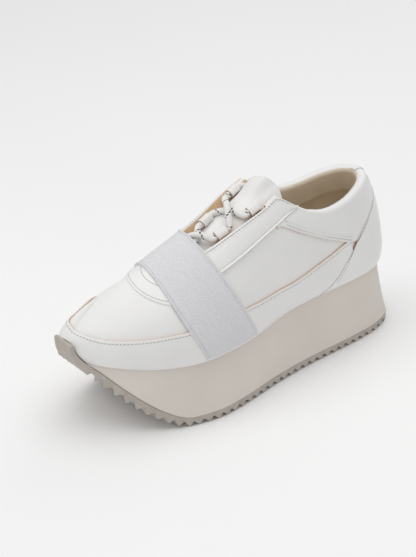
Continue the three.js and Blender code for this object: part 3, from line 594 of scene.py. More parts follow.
# %% Node helpers
class Finish:
    """One material in the making: its shader, and the kinds of node that the recipes below use."""

    def __init__(self, name, roughness, **sockets):
        """A new material; further values of its shader are given by name."""
        self.material = bpy.data.materials.new(name)
        self.material.use_nodes = True
        self.nodes, self.links = self.material.node_tree.nodes, self.material.node_tree.links
        self.shader = self.nodes["Principled BSDF"]
        self.fill(self.shader, {"roughness": roughness, **sockets})

    @staticmethod
    def fill(node, values):
        """Numbers for a node's inputs, by name."""
        for socket, value in values.items():
            node.inputs[socket.replace("_", " ").title()].default_value = value

    def add(self, kind, linked, **values):
        """A node whose inputs are filled by name: from other nodes in linked, or with numbers."""
        node = self.nodes.new(kind)
        self.fill(node, values)
        for socket, origin in linked.items():
            self.links.new(origin, node.inputs[socket])
        return node

    def place(self, stretch=(1, 1, 1), origin=None):
        """Object coordinates, or another vector, stretched by a factor along each axis."""
        origin = origin or self.nodes.new("ShaderNodeTexCoord").outputs["Object"]
        return self.add("ShaderNodeMapping", {"Vector": origin}, scale=stretch).outputs["Vector"]

    def stored(self, name):
        """A vector kept on the mesh's points: the whole of it, and its three parts."""
        node = self.nodes.new("ShaderNodeAttribute")
        node.attribute_name = name
        parts = self.add("ShaderNodeSeparateXYZ", {"Vector": node.outputs["Vector"]})
        return node.outputs["Vector"], parts.outputs

    def noise(self, where, scale, detail, roughness=0.5):
        """The noise value, 0 to 1, with its features about 1 / scale metres apart."""
        cloud = self.add(
            "ShaderNodeTexNoise", {"Vector": where}, scale=scale, detail=detail, roughness=roughness
        )
        return cloud.outputs["Fac"]

    def pebble(self, where, scale):
        """Distance to the nearest grain centre, for leather grain."""
        return self.add("ShaderNodeTexVoronoi", {"Vector": where}, scale=scale).outputs["Distance"]

    def sums(self, operation, *values):
        """One Math node; each input is a socket or a number."""
        node = self.nodes.new("ShaderNodeMath")
        node.operation = operation
        for slot, value in zip(node.inputs, values):
            if isinstance(value, (int, float)):
                slot.default_value = value
            else:
                self.links.new(value, slot)
        return node.outputs[0]

    def colour(self, value, *stops):
        """Base colour by a value: stops are (place, (r, g, b))."""
        ramp = self.add("ShaderNodeValToRGB", {"Fac": value})
        elements = ramp.color_ramp.elements
        while len(elements) < len(stops):
            elements.new(0.5)
        for element, (position, colour) in zip(elements, stops):
            element.position = position
            element.color = (*colour, 1)
        self.links.new(ramp.outputs["Color"], self.shader.inputs["Base Color"])

    def gloss(self, value, low, high):
        """Roughness by a value: the middle half of 0 to 1 is carried to low..high."""
        carried = self.add(
            "ShaderNodeMapRange", {"Value": value}, from_min=0.25, from_max=0.75, to_min=low, to_max=high
        )
        self.links.new(carried.outputs["Result"], self.shader.inputs["Roughness"])

    def relief(self, *layers):
        """Bump nodes in a chain; layers are (height socket, depth in metres, strength)."""
        below = {}
        for height, depth, strength in layers:
            bump = self.add("ShaderNodeBump", {"Height": height, **below}, distance=depth, strength=strength)
            below = {"Normal": bump.outputs["Normal"]}
        self.links.new(below["Normal"], self.shader.inputs["Normal"])


# %% Leather, lining and raw edges
def make_leather(name, light, dark, gloss):
    """Smooth finished leather: even colour, fine grain, and a gloss that varies a little."""
    finish = Finish(name, 0.4, coat_weight=0.12, coat_roughness=0.25)
    where = finish.place()
    finish.colour(finish.noise(where, 28, 4), (0.3, dark), (0.7, light))
    finish.gloss(finish.noise(where, 90, 3), gloss - 0.05, gloss + 0.07)
    grain, wave = finish.pebble(where, 1500), finish.noise(where, 75, 2)
    finish.relief((wave, 0.0006, 0.30), (grain, 0.00006, 0.35))
    return finish.material


def make_raw_edge(name, light, dark):
    """The cut edge of leather: fibrous, unpolished, tan to brown."""
    finish = Finish(name, 0.85)
    fibre = finish.noise(finish.place(), 1400, 5, 0.7)
    finish.colour(fibre, (0.32, dark), (0.62, light))
    finish.relief((fibre, 0.0003, 0.6))
    return finish.material


def make_lining(name, light, dark):
    """Soft lining leather: matt, with a nap that catches the light unevenly."""
    finish = Finish(name, 0.75, sheen_weight=0.2, sheen_roughness=0.5)
    where = finish.place()
    finish.colour(finish.noise(where, 45, 5), (0.3, dark), (0.72, light))
    nap, fold = finish.noise(where, 1100, 4), finish.noise(where, 55, 2)
    finish.relief((fold, 0.0012, 0.35), (nap, 0.0001, 0.5))
    return finish.material


white_leather = make_leather("white_leather", (0.875, 0.87, 0.86), (0.835, 0.83, 0.82), 0.36)
loop_leather = make_leather("loop_leather", (0.87, 0.855, 0.835), (0.82, 0.80, 0.775), 0.42)
tan_edge = make_raw_edge("tan_edge", (0.70, 0.49, 0.36), (0.47, 0.29, 0.19))
brown_edge = make_raw_edge("brown_edge", (0.44, 0.27, 0.18), (0.21, 0.11, 0.065))
pale_edge = make_raw_edge("pale_edge", (0.84, 0.73, 0.64), (0.70, 0.55, 0.44))
facing_suede = make_raw_edge("facing_suede", (0.66, 0.46, 0.29), (0.46, 0.29, 0.165))
beige_lining = make_lining("beige_lining", (0.88, 0.775, 0.63), (0.76, 0.65, 0.495))
print("leather finishes: white, loops, three raw edges, suede, lining")

# %% Foam, rubber and elastic
ELASTIC_RIB, ELASTIC_PICK = 0.0011, 0.0009  # metres between the ribs and between the cross threads
TRACER_PITCH, TRACER_SHARE = 0.0112, 0.115  # metres for one turn, share of the girth
DASH_PITCH, DASH_SHARE = 0.0016, 0.62
BRAID_PITCH, BRAID_STRANDS = 0.0085, 6


def make_foam(name):
    """Moulded foam: matt off-white, faintly mottled, with tiny pores and streaks of varying gloss."""
    finish = Finish(name, 0.62)
    where = finish.place()
    tone = finish.noise(where, 22, 5)
    finish.colour(tone, (0.3, (0.715, 0.66, 0.605)), (0.7, (0.76, 0.705, 0.65)))
    finish.gloss(finish.noise(finish.place((1, 1, 3)), 60, 4), 0.52, 0.70)
    finish.relief((finish.noise(where, 1300, 2), 0.00008, 0.4), (tone, 0.0008, 0.12))
    return finish.material


def make_rubber(name):
    """Outsole rubber: grey-taupe, matt, dustier in random patches."""
    finish = Finish(name, 0.72)
    where = finish.place()
    dust = finish.noise(where, 140, 5)
    finish.colour(dust, (0.3, (0.43, 0.39, 0.345)), (0.7, (0.52, 0.475, 0.43)))
    finish.gloss(dust, 0.6, 0.8)
    finish.relief((finish.noise(where, 900, 3), 0.00015, 0.5))
    return finish.material


def make_elastic(name):
    """Woven elastic: fine ribs across the band, a heathered grey yarn and a dry surface. The weave
    attribute holds the distance along and across the band in metres."""
    finish = Finish(name, 0.88, sheen_weight=0.15, sheen_roughness=0.4)
    weave, parts = finish.stored("weave")
    heather = finish.noise(finish.place((1, 0.28, 1), weave), 1500, 4, 0.65)
    finish.colour(
        heather, (0.30, (0.66, 0.65, 0.675)), (0.50, (0.75, 0.74, 0.76)), (0.72, (0.82, 0.815, 0.83))
    )
    ribs = finish.sums("SINE", finish.sums("MULTIPLY", parts["X"], 2 * math.pi / ELASTIC_RIB))
    picks = finish.sums("SINE", finish.sums("MULTIPLY", parts["Y"], 2 * math.pi / ELASTIC_PICK))
    finish.relief((ribs, 0.0001, 0.5), (picks, 0.0001, 0.25), (heather, 0.0003, 0.5))
    return finish.material


# %% Lace and thread
def make_lace(name):
    """A round braid: white yarn crossing in two spirals, and one black tracer yarn that shows as a
    row of short dashes. The lay attribute holds cos, sin and the distance along in metres."""
    finish = Finish(name, 0.8)
    _, parts = finish.stored("lay")
    run = parts["Z"]
    around = finish.sums("DIVIDE", finish.sums("ARCTAN2", parts["Y"], parts["X"]), 2 * math.pi)
    tracer_turn = finish.sums("MULTIPLY_ADD", run, 1 / TRACER_PITCH, around)
    tracer_place = finish.sums("FRACT", finish.sums("ADD", tracer_turn, 20.0))
    dash_place = finish.sums("FRACT", finish.sums("MULTIPLY_ADD", run, 1 / DASH_PITCH, 40.0))
    in_yarn = finish.sums("LESS_THAN", tracer_place, TRACER_SHARE)
    in_dash = finish.sums("LESS_THAN", dash_place, DASH_SHARE)
    dark = finish.sums("MULTIPLY", in_yarn, in_dash)
    finish.colour(dark, (0.4, (0.86, 0.85, 0.83)), (0.6, (0.012, 0.012, 0.014)))
    strands = []
    for sense in (1, -1):
        twist = finish.sums("MULTIPLY_ADD", run, sense / BRAID_PITCH, around)
        strands.append(finish.sums("SINE", finish.sums("MULTIPLY", twist, 2 * math.pi * BRAID_STRANDS)))
    finish.relief((finish.sums("MAXIMUM", *strands), 0.00018, 0.4))
    return finish.material


def make_thread_and_needle_shade(name, light, dark):
    """Twisted sewing thread, and in dark tones the painted shade in the needle holes."""
    finish = Finish(name, 0.6)
    twist = finish.noise(finish.place(), 2600, 2)
    finish.colour(twist, (0.35, dark), (0.65, light))
    finish.relief((twist, 0.0001, 0.5))
    return finish.material


midsole_foam = make_foam("midsole_foam")
outsole_rubber = make_rubber("outsole_rubber")
grey_elastic = make_elastic("grey_elastic")
white_lace = make_lace("white_lace")
white_thread = make_thread_and_needle_shade("white_thread", (0.80, 0.79, 0.77), (0.62, 0.61, 0.59))
# needle_shadow is painted shade: a dark thread tone in place of the shade inside each needle hole.
needle_shadow = make_thread_and_needle_shade("needle_shadow", (0.27, 0.26, 0.25), (0.15, 0.145, 0.14))
print("other finishes: foam, rubber, elastic, lace, thread")

# %% [markdown]
# ## Lace loops and lace
# Instead of eyelets this shoe has four folded leather loops, caught under the edges of the throat.
# The round lace runs through them and crosses itself between them. The loops' frames are worked
# out first, because the lace's route is given from them. The lace is two cords: each starts inside
# a top loop and ends under the strap. One free end shows above the inner top loop and dives behind
# the tongue.

# %% Loop frames
LOOP_WIDTH, LOOP_HEIGHT, LOOP_WALL = 8.2, 6.6, 0.9
LOOP_STANDS_OFF, LOOP_PROBE = 0.4, 3.0
UPPER_WALL = 2.2
LACE_RADIUS = 2.3
SHOWN_WIDTH, SHOWN_HEIGHT, SHOWN_LENGTH = 6.9, 6.2, 8.6  # the leather hugs the lace
LOOP_PLACES = {  # station, side and how deep the loop sinks below the throat's edge
    "lateral_top": (122.5, 1, 3.0),
    "lateral_low": (149.5, 1, 3.0),
    "medial_top": (122, -1, 3.9),
    "medial_low": (150.5, -1, 3.6),
}


def throat_side(station, side):
    """Side distance of the throat's edge, outer for side 1 and inner for side -1."""
    return side * from_table(THROAT, station, 1 if side > 0 else 2)


def loop_frame(station, side, sink):
    """Centre and axes of a loop: along the throat's edge, out of the surface, across the tongue."""
    stations = station + LOOP_PROBE * np.array([-1.0, 0.0, 1.0])
    turn, climb = spot_from_above(stations, throat_side(stations, side))
    behind, here, ahead = last_point(turn, climb)
    along = unit(ahead - behind)
    normal = last_normal(turn[1], climb[1])
    out = unit(normal - along * (normal @ along))
    across = np.cross(out, along) * (-1 if side > 0 else 1)
    aside, raised = LOOP_WIDTH / 2 + LOOP_STANDS_OFF, LOOP_HEIGHT / 2 - UPPER_WALL - sink
    return here + across * aside + out * raised, along, out, across


loop_frames = {name: loop_frame(*row) for name, row in LOOP_PLACES.items()}


def through_loop(name, distance):
    """A point on a loop's own axis."""
    centre, along, _, _ = loop_frames[name]
    return centre + along * distance


def over_tongue(station, side, lift):
    """A point above the upper's outer surface, for a lace that passes over the tongue."""
    turn, climb = spot_from_above(station, side)
    return last_point(turn, climb) + last_normal(turn, climb) * lift


MOUTH = SHOWN_LENGTH / 2 + GAP
for name, (centre, *_) in loop_frames.items():
    print("loop", name, "at", centre.round(1))

# %% Run the lace
LACE_OVER = (  # a loop and a distance along it, or a station, a side and a lift over the tongue
    ("medial_top", -MOUTH + 2.5), ("medial_top", 0), ("medial_top", MOUTH), ("medial_top", MOUTH + 3.5),
    (137.5, 0, 2.2),
    ("lateral_low", -MOUTH - 2.5), ("lateral_low", -MOUTH), ("lateral_low", MOUTH),
    ("lateral_low", MOUTH + 3), (162.5, 1, 0.8), (167, -6, -1.7), (173, -8.5, -2.9),
)
LACE_UNDER = (
    ("lateral_top", -2), ("lateral_top", MOUTH), ("lateral_top", MOUTH + 3.5),
    (136.5, 0, -2.0),
    ("medial_low", -MOUTH - 2.5), ("medial_low", -MOUTH), ("medial_low", MOUTH),
    ("medial_low", MOUTH + 3), (162, -4, -3.0), (167, 0.5, -3.6), (173, 4, -3.9),
)
LACE_END = (("medial_top", -MOUTH + 1.5), ("medial_top", -MOUTH), ("medial_top", -MOUTH - 1.5))
END_HANGS = ((109.0, -15.0, 125.5), (105.0, -14.0, 120.0), (102.5, -13.0, 112.5), (102.5, -12.5, 105.0))


def route_points(steps):
    """The points of a route: through a loop where a row starts with its name, else over the tongue."""
    return [through_loop(*row) if isinstance(row[0], str) else over_tongue(*row) for row in steps]


# %% Make the lace
def lace_piece(name, route):
    """One length of lace along a route."""
    path = rounded_path(route)
    points, faces, field = tube(path, LACE_RADIUS)
    return make_piece(name, points, faces, [white_lace], fields={"lay": field}), path


lace_over, _ = lace_piece("lace_over", route_points(LACE_OVER))
lace_under, _ = lace_piece("lace_under", route_points(LACE_UNDER))
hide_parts("lace_crossing_top")
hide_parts("lace_crossing_low")
free_end, end_path = lace_piece("lace_free_end", [*route_points(LACE_END), *np.array(END_HANGS)])
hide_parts("lace_end")

# %% [markdown]
# ## The opening of the upper
# Going up from the feather line, each column of the surface ends where it meets the collar line,
# the throat's edge, or the ridge in front of the throat. That end, as a share of the climb, is
# looked up once on a fine grid and kept as a curve round the shoe.

# %% Where each column of the upper ends
COLLAR_END = COLLAR_LINE[-1, 0]
ROLL_DROP = 2.0  # the padded roll rises this far above the end of the leather
ROLL_FADES = (104, 84)  # stations between which that rise comes in, going back
THROAT_FLOOR = 88  # the throat opens only above this height
PAD_HEIGHTS, PAD_STATIONS = (-26, -6), (76, 96)  # from the collar line, and where the pad thins out
COLLAR_PADDING = 3.4
RING_COLUMNS, RING_ROWS = 960, 801


def collar_height(station):
    """Height of the collar line, seen from the side."""
    return from_table(COLLAR_LINE, station)


def is_open(points):
    """True where a point lies above the collar line or inside the throat seen from above."""
    x, y, z = np.moveaxis(points, -1, 0)
    above_collar = (x < COLLAR_END) & (z > collar_height(x) - ROLL_DROP * ease(*ROLL_FADES, x))
    in_length = (x > THROAT[0, 0]) & (x < THROAT[-1, 0])
    in_width = (y < throat_side(x, 1)) & (y > throat_side(x, -1))
    return above_collar | (in_length & in_width & (z > THROAT_FLOOR))


ring_angles = np.linspace(0, 2 * np.pi, RING_COLUMNS + 1)[:-1]
ring_rises = np.linspace(0, 1, RING_ROWS)
ring_inner = ring_angles > np.pi
ring_turn = np.where(ring_inner, 2 * np.pi - ring_angles, ring_angles)
scan_climb = on_side(ring_rises, ring_inner[:, None])
opened = is_open(last_point(ring_turn[:, None], scan_climb))
ring_end = np.where(opened.any(1), ring_rises[opened.argmax(1)], 1.0)
print("columns that end at an opening:", int(opened.any(1).sum()), "of", len(ring_end))


def end_of_rise(angle):
    """The share of the climb at which the upper ends, at an angle round the shoe."""
    wrapped = np.mod(angle, 2 * np.pi)
    return np.interp(wrapped, np.append(ring_angles, 2 * np.pi), np.append(ring_end, ring_end[0]))


def wall_depth(points):
    """Leather and lining together, with foam added inside the collar."""
    x, _, z = np.moveaxis(points, -1, 0)
    padding = ease(*PAD_HEIGHTS, z - collar_height(x)) * (1 - ease(*PAD_STATIONS, x))
    return UPPER_WALL + COLLAR_PADDING * padding


# %% [markdown]
# ## The base of the upper
# Under all its overlays the upper is one sheet of leather with a lining. The grid of outer points
# becomes a closed shell: its inner copy lies one wall's thickness inside, and a rim joins the two
# along the collar, the throat and the feather line. Both sides of the grid meet on the ridge in
# front of the throat, so their doubled points are merged before the sheet gets its thickness.

# %% Build the base of the upper
BASE_ROWS = 70
share_up = np.linspace(0, 1, BASE_ROWS + 1)[:, None]
base_rise = share_up * ring_end[None]
base_turn = np.broadcast_to(ring_turn, base_rise.shape)
base_climb = on_side(base_rise, ring_inner[None])
base_outer = skin(base_turn, base_climb).reshape(-1, 3)
base_normal = last_normal(base_turn, base_climb).reshape(-1, 3)
base_quads = grid_faces(BASE_ROWS + 1, len(ring_angles), wrap=True)
kept_points, base_quads = merge_points(base_outer, base_quads)
base_outer, base_normal = base_outer[kept_points], base_normal[kept_points]
base_inner = behind_bumper(base_outer - base_normal * wall_depth(base_outer)[:, None])
points, faces, part = thicken(base_outer, base_inner, base_quads)
upper_base = make_piece("upper_base", points, faces, [white_leather, beige_lining, pale_edge], part)
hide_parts("upper")

# %% [markdown]
# ## Overlays
# The panels on top are cut from leather a little over a millimetre thick and left raw at the edge,
# which is why each seam shows as a fine tan line. A panel is a grid between two border curves on
# the surface. Its borders carry extra rows close to the edge, where the height falls off, so the
# corner is slightly rounded, and the last of those rows takes the colour of the cut.

# %% The overlay maker
PANEL, SUNK = 1.2, 0.3  # thickness of an overlay, and how far its underside sinks into the base


def border_steps(count, first):
    """Shares from 0 to 1 with two extra steps close to each end, the first at the given share."""
    inside = np.linspace(0, 1, count)[1:-1]
    inside = inside[(inside > 2.2 * first) & (inside < 1 - 2.2 * first)]
    near = np.array([0, first * 0.4, first, first * 2])
    return np.concatenate([near, inside, 1 - near[::-1]])


def border_height(steps, first, soft_ends=(True, True)):
    """Height factor across a border: 0.5 at the edge, rising along a quarter circle to 1."""
    factor = np.ones_like(steps)
    for is_soft, gap in zip(soft_ends, (steps, 1 - steps)):
        if is_soft:
            factor *= 0.5 + 0.5 * quarter_round(gap / first)
    return factor


def cut_look(part, faces, rows, columns, raw):
    """The look of each face of a thickened panel: 1 on the last cells and the rim of a raw border,
    low or high, and 0 elsewhere."""
    cell_row, rim_row = np.arange(len(faces)) // (columns - 1), rim_edges(faces)[0] // columns
    look = np.zeros(len(part), int)
    look[: len(faces)] = (raw[0] & (cell_row == 0)) | (raw[1] & (cell_row == rows - 2))
    look[part == 2] = (raw[0] & (rim_row == 0)) | (raw[1] & (rim_row == rows - 1))
    return look


def overlay(name, surface, low, high, counts, firsts, materials, raw=(0, 1), height=PANEL,
            soft=((True, True), (True, True))):
    """A panel on the surface between two border curves, each an array of (u, v) per column.
    raw names the borders with a cut edge, low and high; materials are the face and the cut."""
    rows = border_steps(counts, firsts[0])
    grid = low[None] + (high - low)[None] * rows[:, None, None]
    side = border_height(np.linspace(0, 1, len(low)), firsts[1], soft[1])
    factor = border_height(rows, firsts[0], soft[0])[:, None] * side[None]
    top = surface(grid[..., 0], grid[..., 1], height * factor)
    under = surface(grid[..., 0], grid[..., 1], np.full(factor.shape, -SUNK))
    faces = grid_faces(len(rows), len(low))
    points, every, part = thicken(top, under, faces)
    return make_piece(name, points, every, materials, cut_look(part, faces, len(rows), len(low), raw))


# %% [markdown]
# ## Stitches
# A row of stitches is one mesh: a short arched capsule repeated at an even pitch along a curve,
# with a small disc between each pair, painted dark for the shade in the needle hole. Real thread
# sinks into the leather at each hole, so the capsule's ends dip below the surface.

# %% The stitch maker
STITCH_PITCH, STITCH_LENGTH, THREAD_RADIUS, STITCH_SIDES = 2.5, 1.75, 0.26, 6
ARCH_RISE, END_DIP = 0.16, 0.34
# The hole sizes below belong to the disc painted dark for the shade in each needle hole.
HOLE_LONG, HOLE_WIDE, HOLE_DEEP, HOLE_HIGH = 0.44, 0.33, 0.12, 0.05


def stitch_template():
    """An arched capsule along x: radius falls to nothing at the ends, and the middle stands up."""
    share = np.array([-1.0, -0.8, -0.3, 0.3, 0.8, 1.0])[:, None]
    radius = THREAD_RADIUS * np.array([0.25, 0.8, 1.0, 1.0, 0.8, 0.25])[:, None]
    angle = np.arange(STITCH_SIDES) * 2 * np.pi / STITCH_SIDES
    height = radius * np.sin(angle) + ARCH_RISE - END_DIP * share**4
    ring = np.broadcast_arrays(share * STITCH_LENGTH / 2, radius * np.cos(angle), height)
    return np.stack(ring, -1).reshape(-1, 3), grid_faces(len(share), STITCH_SIDES, wrap=True)[:, ::-1]


def needle_shade_disc():
    """A flat disc painted dark for the shade in the hole where the needle went through: a squat six-sided
    lens.
    """
    angle = np.arange(STITCH_SIDES) * 2 * np.pi / STITCH_SIDES
    ring = np.stack([HOLE_LONG * np.cos(angle), HOLE_WIDE * np.sin(angle), np.zeros(STITCH_SIDES)], -1)
    points = np.concatenate([ring * 0.02 - (0, 0, HOLE_DEEP), ring, ring * 0.02 + (0, 0, HOLE_HIGH)])
    return points, grid_faces(3, STITCH_SIDES, wrap=True)[:, ::-1]


def stitch_rows(name, rows):
    """All the rows of one seam as a single piece; each row is (path, normals) on the leather."""
    all_points, all_faces, all_looks, start = [], [], [], 0
    for path, normals in rows:
        both = even_steps(np.concatenate([path, normals], 1), STITCH_PITCH / 2)
        centres, out = both[:, :3], unit(both[:, 3:])
        ahead = unit(np.gradient(centres, axis=0))
        side = unit(np.cross(out, ahead))
        out = np.cross(ahead, side)
        # Every second place gets the flat disc painted dark for the shade in the needle hole.
        for offset, (shape, faces), look in ((0, stitch_template(), 0), (1, needle_shade_disc(), 1)):
            at, axes = centres[offset::2], np.stack([ahead, side, out], 1)[offset::2]
            placed = at[:, None] + np.einsum("pk,nkc->npc", shape, axes)
            shifts = start + np.arange(len(at)) * len(shape)
            all_points.append(placed.reshape(-1, 3))
            all_faces.append((faces[None] + shifts[:, None, None]).reshape(-1, 4))
            all_looks.append(np.full(len(at) * len(faces), look))
            start += len(at) * len(shape)
    piece = make_piece(
        name, np.concatenate(all_points), np.concatenate(all_faces),
        [white_thread, needle_shadow], np.concatenate(all_looks),
    )
    return piece


def seam_path(surface, u, v, lift):
    """A row's path on a surface and its normals, from the difference of two lifts."""
    path = surface(u, v, lift)
    return path, unit(surface(u, v, np.asarray(lift) + 0.5) - path)


# %% [markdown]
# ## Toe band
# A band runs round the shoe just above the sole, from the heel counter on one side to the other.
# It protects the vamp and covers the pull marks of lasting. Its upper edge is cut raw; the stitches
# run along it on the band's own side.

# %% The toe band's upper edge
BAND_TOP = np.array([  # angle round the shoe in radians, share of the climb
    (0.86, 0.215), (0.908, 0.208), (1.104, 0.175), (1.318, 0.156), (1.414, 0.171), (1.571, 0.208),
    (1.693, 0.238), (1.88, 0.268), (2.077, 0.288), (2.212, 0.30), (2.343, 0.304), (2.548, 0.312),
    (2.705, 0.338), (2.854, 0.392), (3.011, 0.447), (3.137, 0.49), (3.22, 0.545), (3.32, 0.625),
    (3.45, 0.675), (3.58, 0.665), (3.72, 0.60), (3.90, 0.49), (4.12, 0.38), (4.4, 0.285), (4.72, 0.208),
    (4.97, 0.165), (5.18, 0.175), (5.375, 0.208), (5.43, 0.215),
])
BAND_STITCH_GAP = 2.3
LEAST_SCALE = 4.0  # millimetres for one unit of rise, so that a steep seam doesn't throw a stitch


# %% Build the toe band
def below_seam(angle, rise, gap):
    """The rise that lies gap millimetres square below a seam: the seam's slope and the surface's
    two local scales give the distance that one unit of rise stands for."""
    step = 0.002
    by_rise = (ring_skin(angle, rise + step) - ring_skin(angle, rise - step)) / (2 * step)
    by_angle = (ring_skin(angle + step, rise) - ring_skin(angle - step, rise)) / (2 * step)
    seam = unit(by_angle + np.gradient(rise, angle)[:, None] * by_rise)
    square = by_rise - seam * np.sum(by_rise * seam, -1, keepdims=True)
    return rise - gap / np.maximum(np.linalg.norm(square, axis=-1), LEAST_SCALE)


band_angle = np.linspace(BAND_TOP[0, 0], BAND_TOP[-1, 0], 560)
band_rise = from_table(BAND_TOP, band_angle)
band_low = np.stack([band_angle, np.zeros_like(band_angle)], -1)
band_high = np.stack([band_angle, band_rise], -1)
toe_band = overlay(
    "toe_band", ring_skin, band_low, band_high, 14, (0.03, 0.001), [white_leather, tan_edge],
    soft=((False, True), (False, False)),
)
stitch_rise = below_seam(band_angle, band_rise, BAND_STITCH_GAP)
stitch_rows("toe_band_stitches", [seam_path(ring_skin, band_angle, stitch_rise, PANEL)])


# %% [markdown]
# ## Collar
# The collar is a padded roll. Its section starts at the seam on the outside, rises over a thin foam
# pad, turns over the rim in a half circle and ends inside the shoe. The white leather stops at the
# top of the roll, where the beige lining takes over.

# %% The collar's section
COLLAR_SEAM = np.array([  # angle from the heel, share of the climb at the panel's lower edge
    (0.0, 0.20), (0.5, 0.19), (0.855, 0.198), (1.008, 0.246), (1.117, 0.296), (1.239, 0.383),
    (1.34, 0.496),
])
ROLL_EXTRA, ROLL_LEAST, ROLL_HEIGHT = 0.4, 1.2, 0.95
INSIDE_REACH, INSIDE_LEAN = 30.0, 0.06


def collar_point(angle, run, lift=0.0):
    """A point of the collar: run 0 to 1 climbs the outside to the leather's end, 1 to 2 turns over
    the rim in a half circle, and past 2 it goes down inside by INSIDE_REACH for each unit."""
    angle, run = np.broadcast_arrays(np.asarray(angle, float), np.asarray(run, float))
    lift = np.broadcast_to(np.asarray(lift, float), angle.shape)
    end = end_of_rise(angle)
    turn, inner = np.abs(angle), angle < 0
    outside = skin(turn, on_side(end * np.clip(run, 0, 1), inner), lift)
    rim = skin(turn, on_side(end, inner))
    normal = last_normal(turn, on_side(end, inner))
    up = unit(rim - skin(turn, on_side(end - 0.01, inner)))
    radius = np.clip(wall_depth(rim) / 2 + ROLL_EXTRA, ROLL_LEAST, None)[..., None]
    bend = np.pi * np.clip(run - 1, 0, 1)[..., None]
    reach = radius + lift[..., None]
    rolled = rim - normal * radius + normal * reach * np.cos(bend) + up * reach * ROLL_HEIGHT * np.sin(bend)
    down = np.clip(run - 2, 0, None)[..., None] * INSIDE_REACH
    inside = rim - normal * (radius + reach + INSIDE_LEAN * down) - up * down
    run = run[..., None]
    return np.where(run <= 1, outside, np.where(run <= 2, rolled, inside))


# %% Build the collar roll
COLLAR_FRONT, COLLAR_COLUMNS, COLLAR_EDGE = 1.36, 300, 0.02
COLLAR_PUFF, COLLAR_SHEET, PUFF_POWER = 0.8, 1.4, 1.2
TUCK_SHARE = 0.75  # the part of its lift that the collar gives up where the eyestay covers it
TUCK_ANGLES, TUCK_RISES = (1.15, 1.21), (0.48, 0.53)
SEAM_HIGHEST = 0.94  # share of the collar's own climb
LINING_LIFT, LINING_END = 0.2, -0.6
LINING_FROM = 0.62  # share of the half circle at which the beige lining takes over
collar_angle = np.linspace(-COLLAR_FRONT, COLLAR_FRONT, COLLAR_COLUMNS)
seam_share = from_table(COLLAR_SEAM, np.abs(collar_angle)) / end_of_rise(collar_angle)
collar_low = np.minimum(seam_share, SEAM_HIGHEST)
outside_runs = border_steps(26, COLLAR_EDGE)
roll_runs = 1 + np.linspace(0, 1, 15)[1:]
inside_runs = 2 + np.linspace(0, 0.55, 9)[1:]
run_rows = np.concatenate([
    collar_low[None] + (1 - collar_low[None]) * outside_runs[:, None],
    np.repeat(np.concatenate([roll_runs, inside_runs])[:, None], len(collar_angle), 1),
])
padded = COLLAR_PUFF * np.sin(np.pi * outside_runs) ** PUFF_POWER
collar_lift = np.concatenate([
    PANEL * border_height(outside_runs, COLLAR_EDGE, (True, False)) + padded,
    np.linspace(PANEL, LINING_LIFT, len(roll_runs)), np.linspace(LINING_LIFT, LINING_END, len(inside_runs)),
])[:, None]
under_stay = ease(*TUCK_ANGLES, np.abs(collar_angle))
tucked = TUCK_SHARE * under_stay * ease(*TUCK_RISES, run_rows * end_of_rise(collar_angle))
collar_lift = collar_lift * (1 - np.where(run_rows <= 1, tucked, tucked[len(outside_runs) - 1]))
collar_grid = collar_point(collar_angle, run_rows, collar_lift)
collar_under = collar_point(collar_angle, run_rows, collar_lift - COLLAR_SHEET)
row_of_face = np.repeat(np.arange(len(run_rows) - 1), COLLAR_COLUMNS - 1)
crest_row = len(outside_runs) + int(len(roll_runs) * LINING_FROM)
collar_look = np.where(row_of_face >= crest_row, 1, np.where(row_of_face == 0, 2, 0))
collar_materials = [white_leather, beige_lining, tan_edge]
collar = sheet("collar_roll", collar_grid, collar_under, collar_materials, (collar_look, 1, 2))

# %% Stitch the collar
COLLAR_STITCH_GAPS = (2.0, 4.4)
collar_rows = []
for side in (1, -1):
    seam_angle = np.linspace(0.86, 1.30, 90)
    seam_low = from_table(COLLAR_SEAM, seam_angle)
    for gap in COLLAR_STITCH_GAPS:
        angle = seam_angle * side
        rise = np.minimum(below_seam(angle, seam_low, -gap), end_of_rise(angle) * 0.99)
        collar_rows.append(seam_path(ring_skin, angle, rise, PANEL + 0.1 + 0.05 * gap))
stitch_rows("collar_stitches", collar_rows)

# %% [markdown]
# ## Heel counter
# The stiff heel piece lies over the ends of the collar and the band. Its front edge is the widest
# cut on the shoe, because the counter is made of two layers, so the edge is dark brown low down.

# %% Build the heel counter
COUNTER_FRONT = np.array([  # share of the climb, angle from the heel
    (0.0, 1.13), (0.008, 1.10), (0.038, 1.047), (0.085, 0.99), (0.129, 0.942), (0.183, 0.868),
    (0.212, 0.835), (0.267, 0.72), (0.321, 0.572), (0.371, 0.41), (0.408, 0.31), (0.43, 0.24),
    (0.47, 0.12), (0.5, 0.06),
])
COUNTER, COUNTER_PUFF, PUFF_FROM = 1.6, 0.6, 0.35
COUNTER_ROWS, COUNTER_EDGE, ROLL_THINNING = 60, 0.015, 0.45
STITCH_BEHIND_EDGE = 0.05  # radians round the heel
heel_end = float(end_of_rise(0.08))


def counter_puff(run):
    """Height of the padding under the counter: the sine of its share of the climb, to a power."""
    return COUNTER_PUFF * np.sin(np.pi * np.clip((run - PUFF_FROM) / (1 - PUFF_FROM), 0, 1)) ** PUFF_POWER


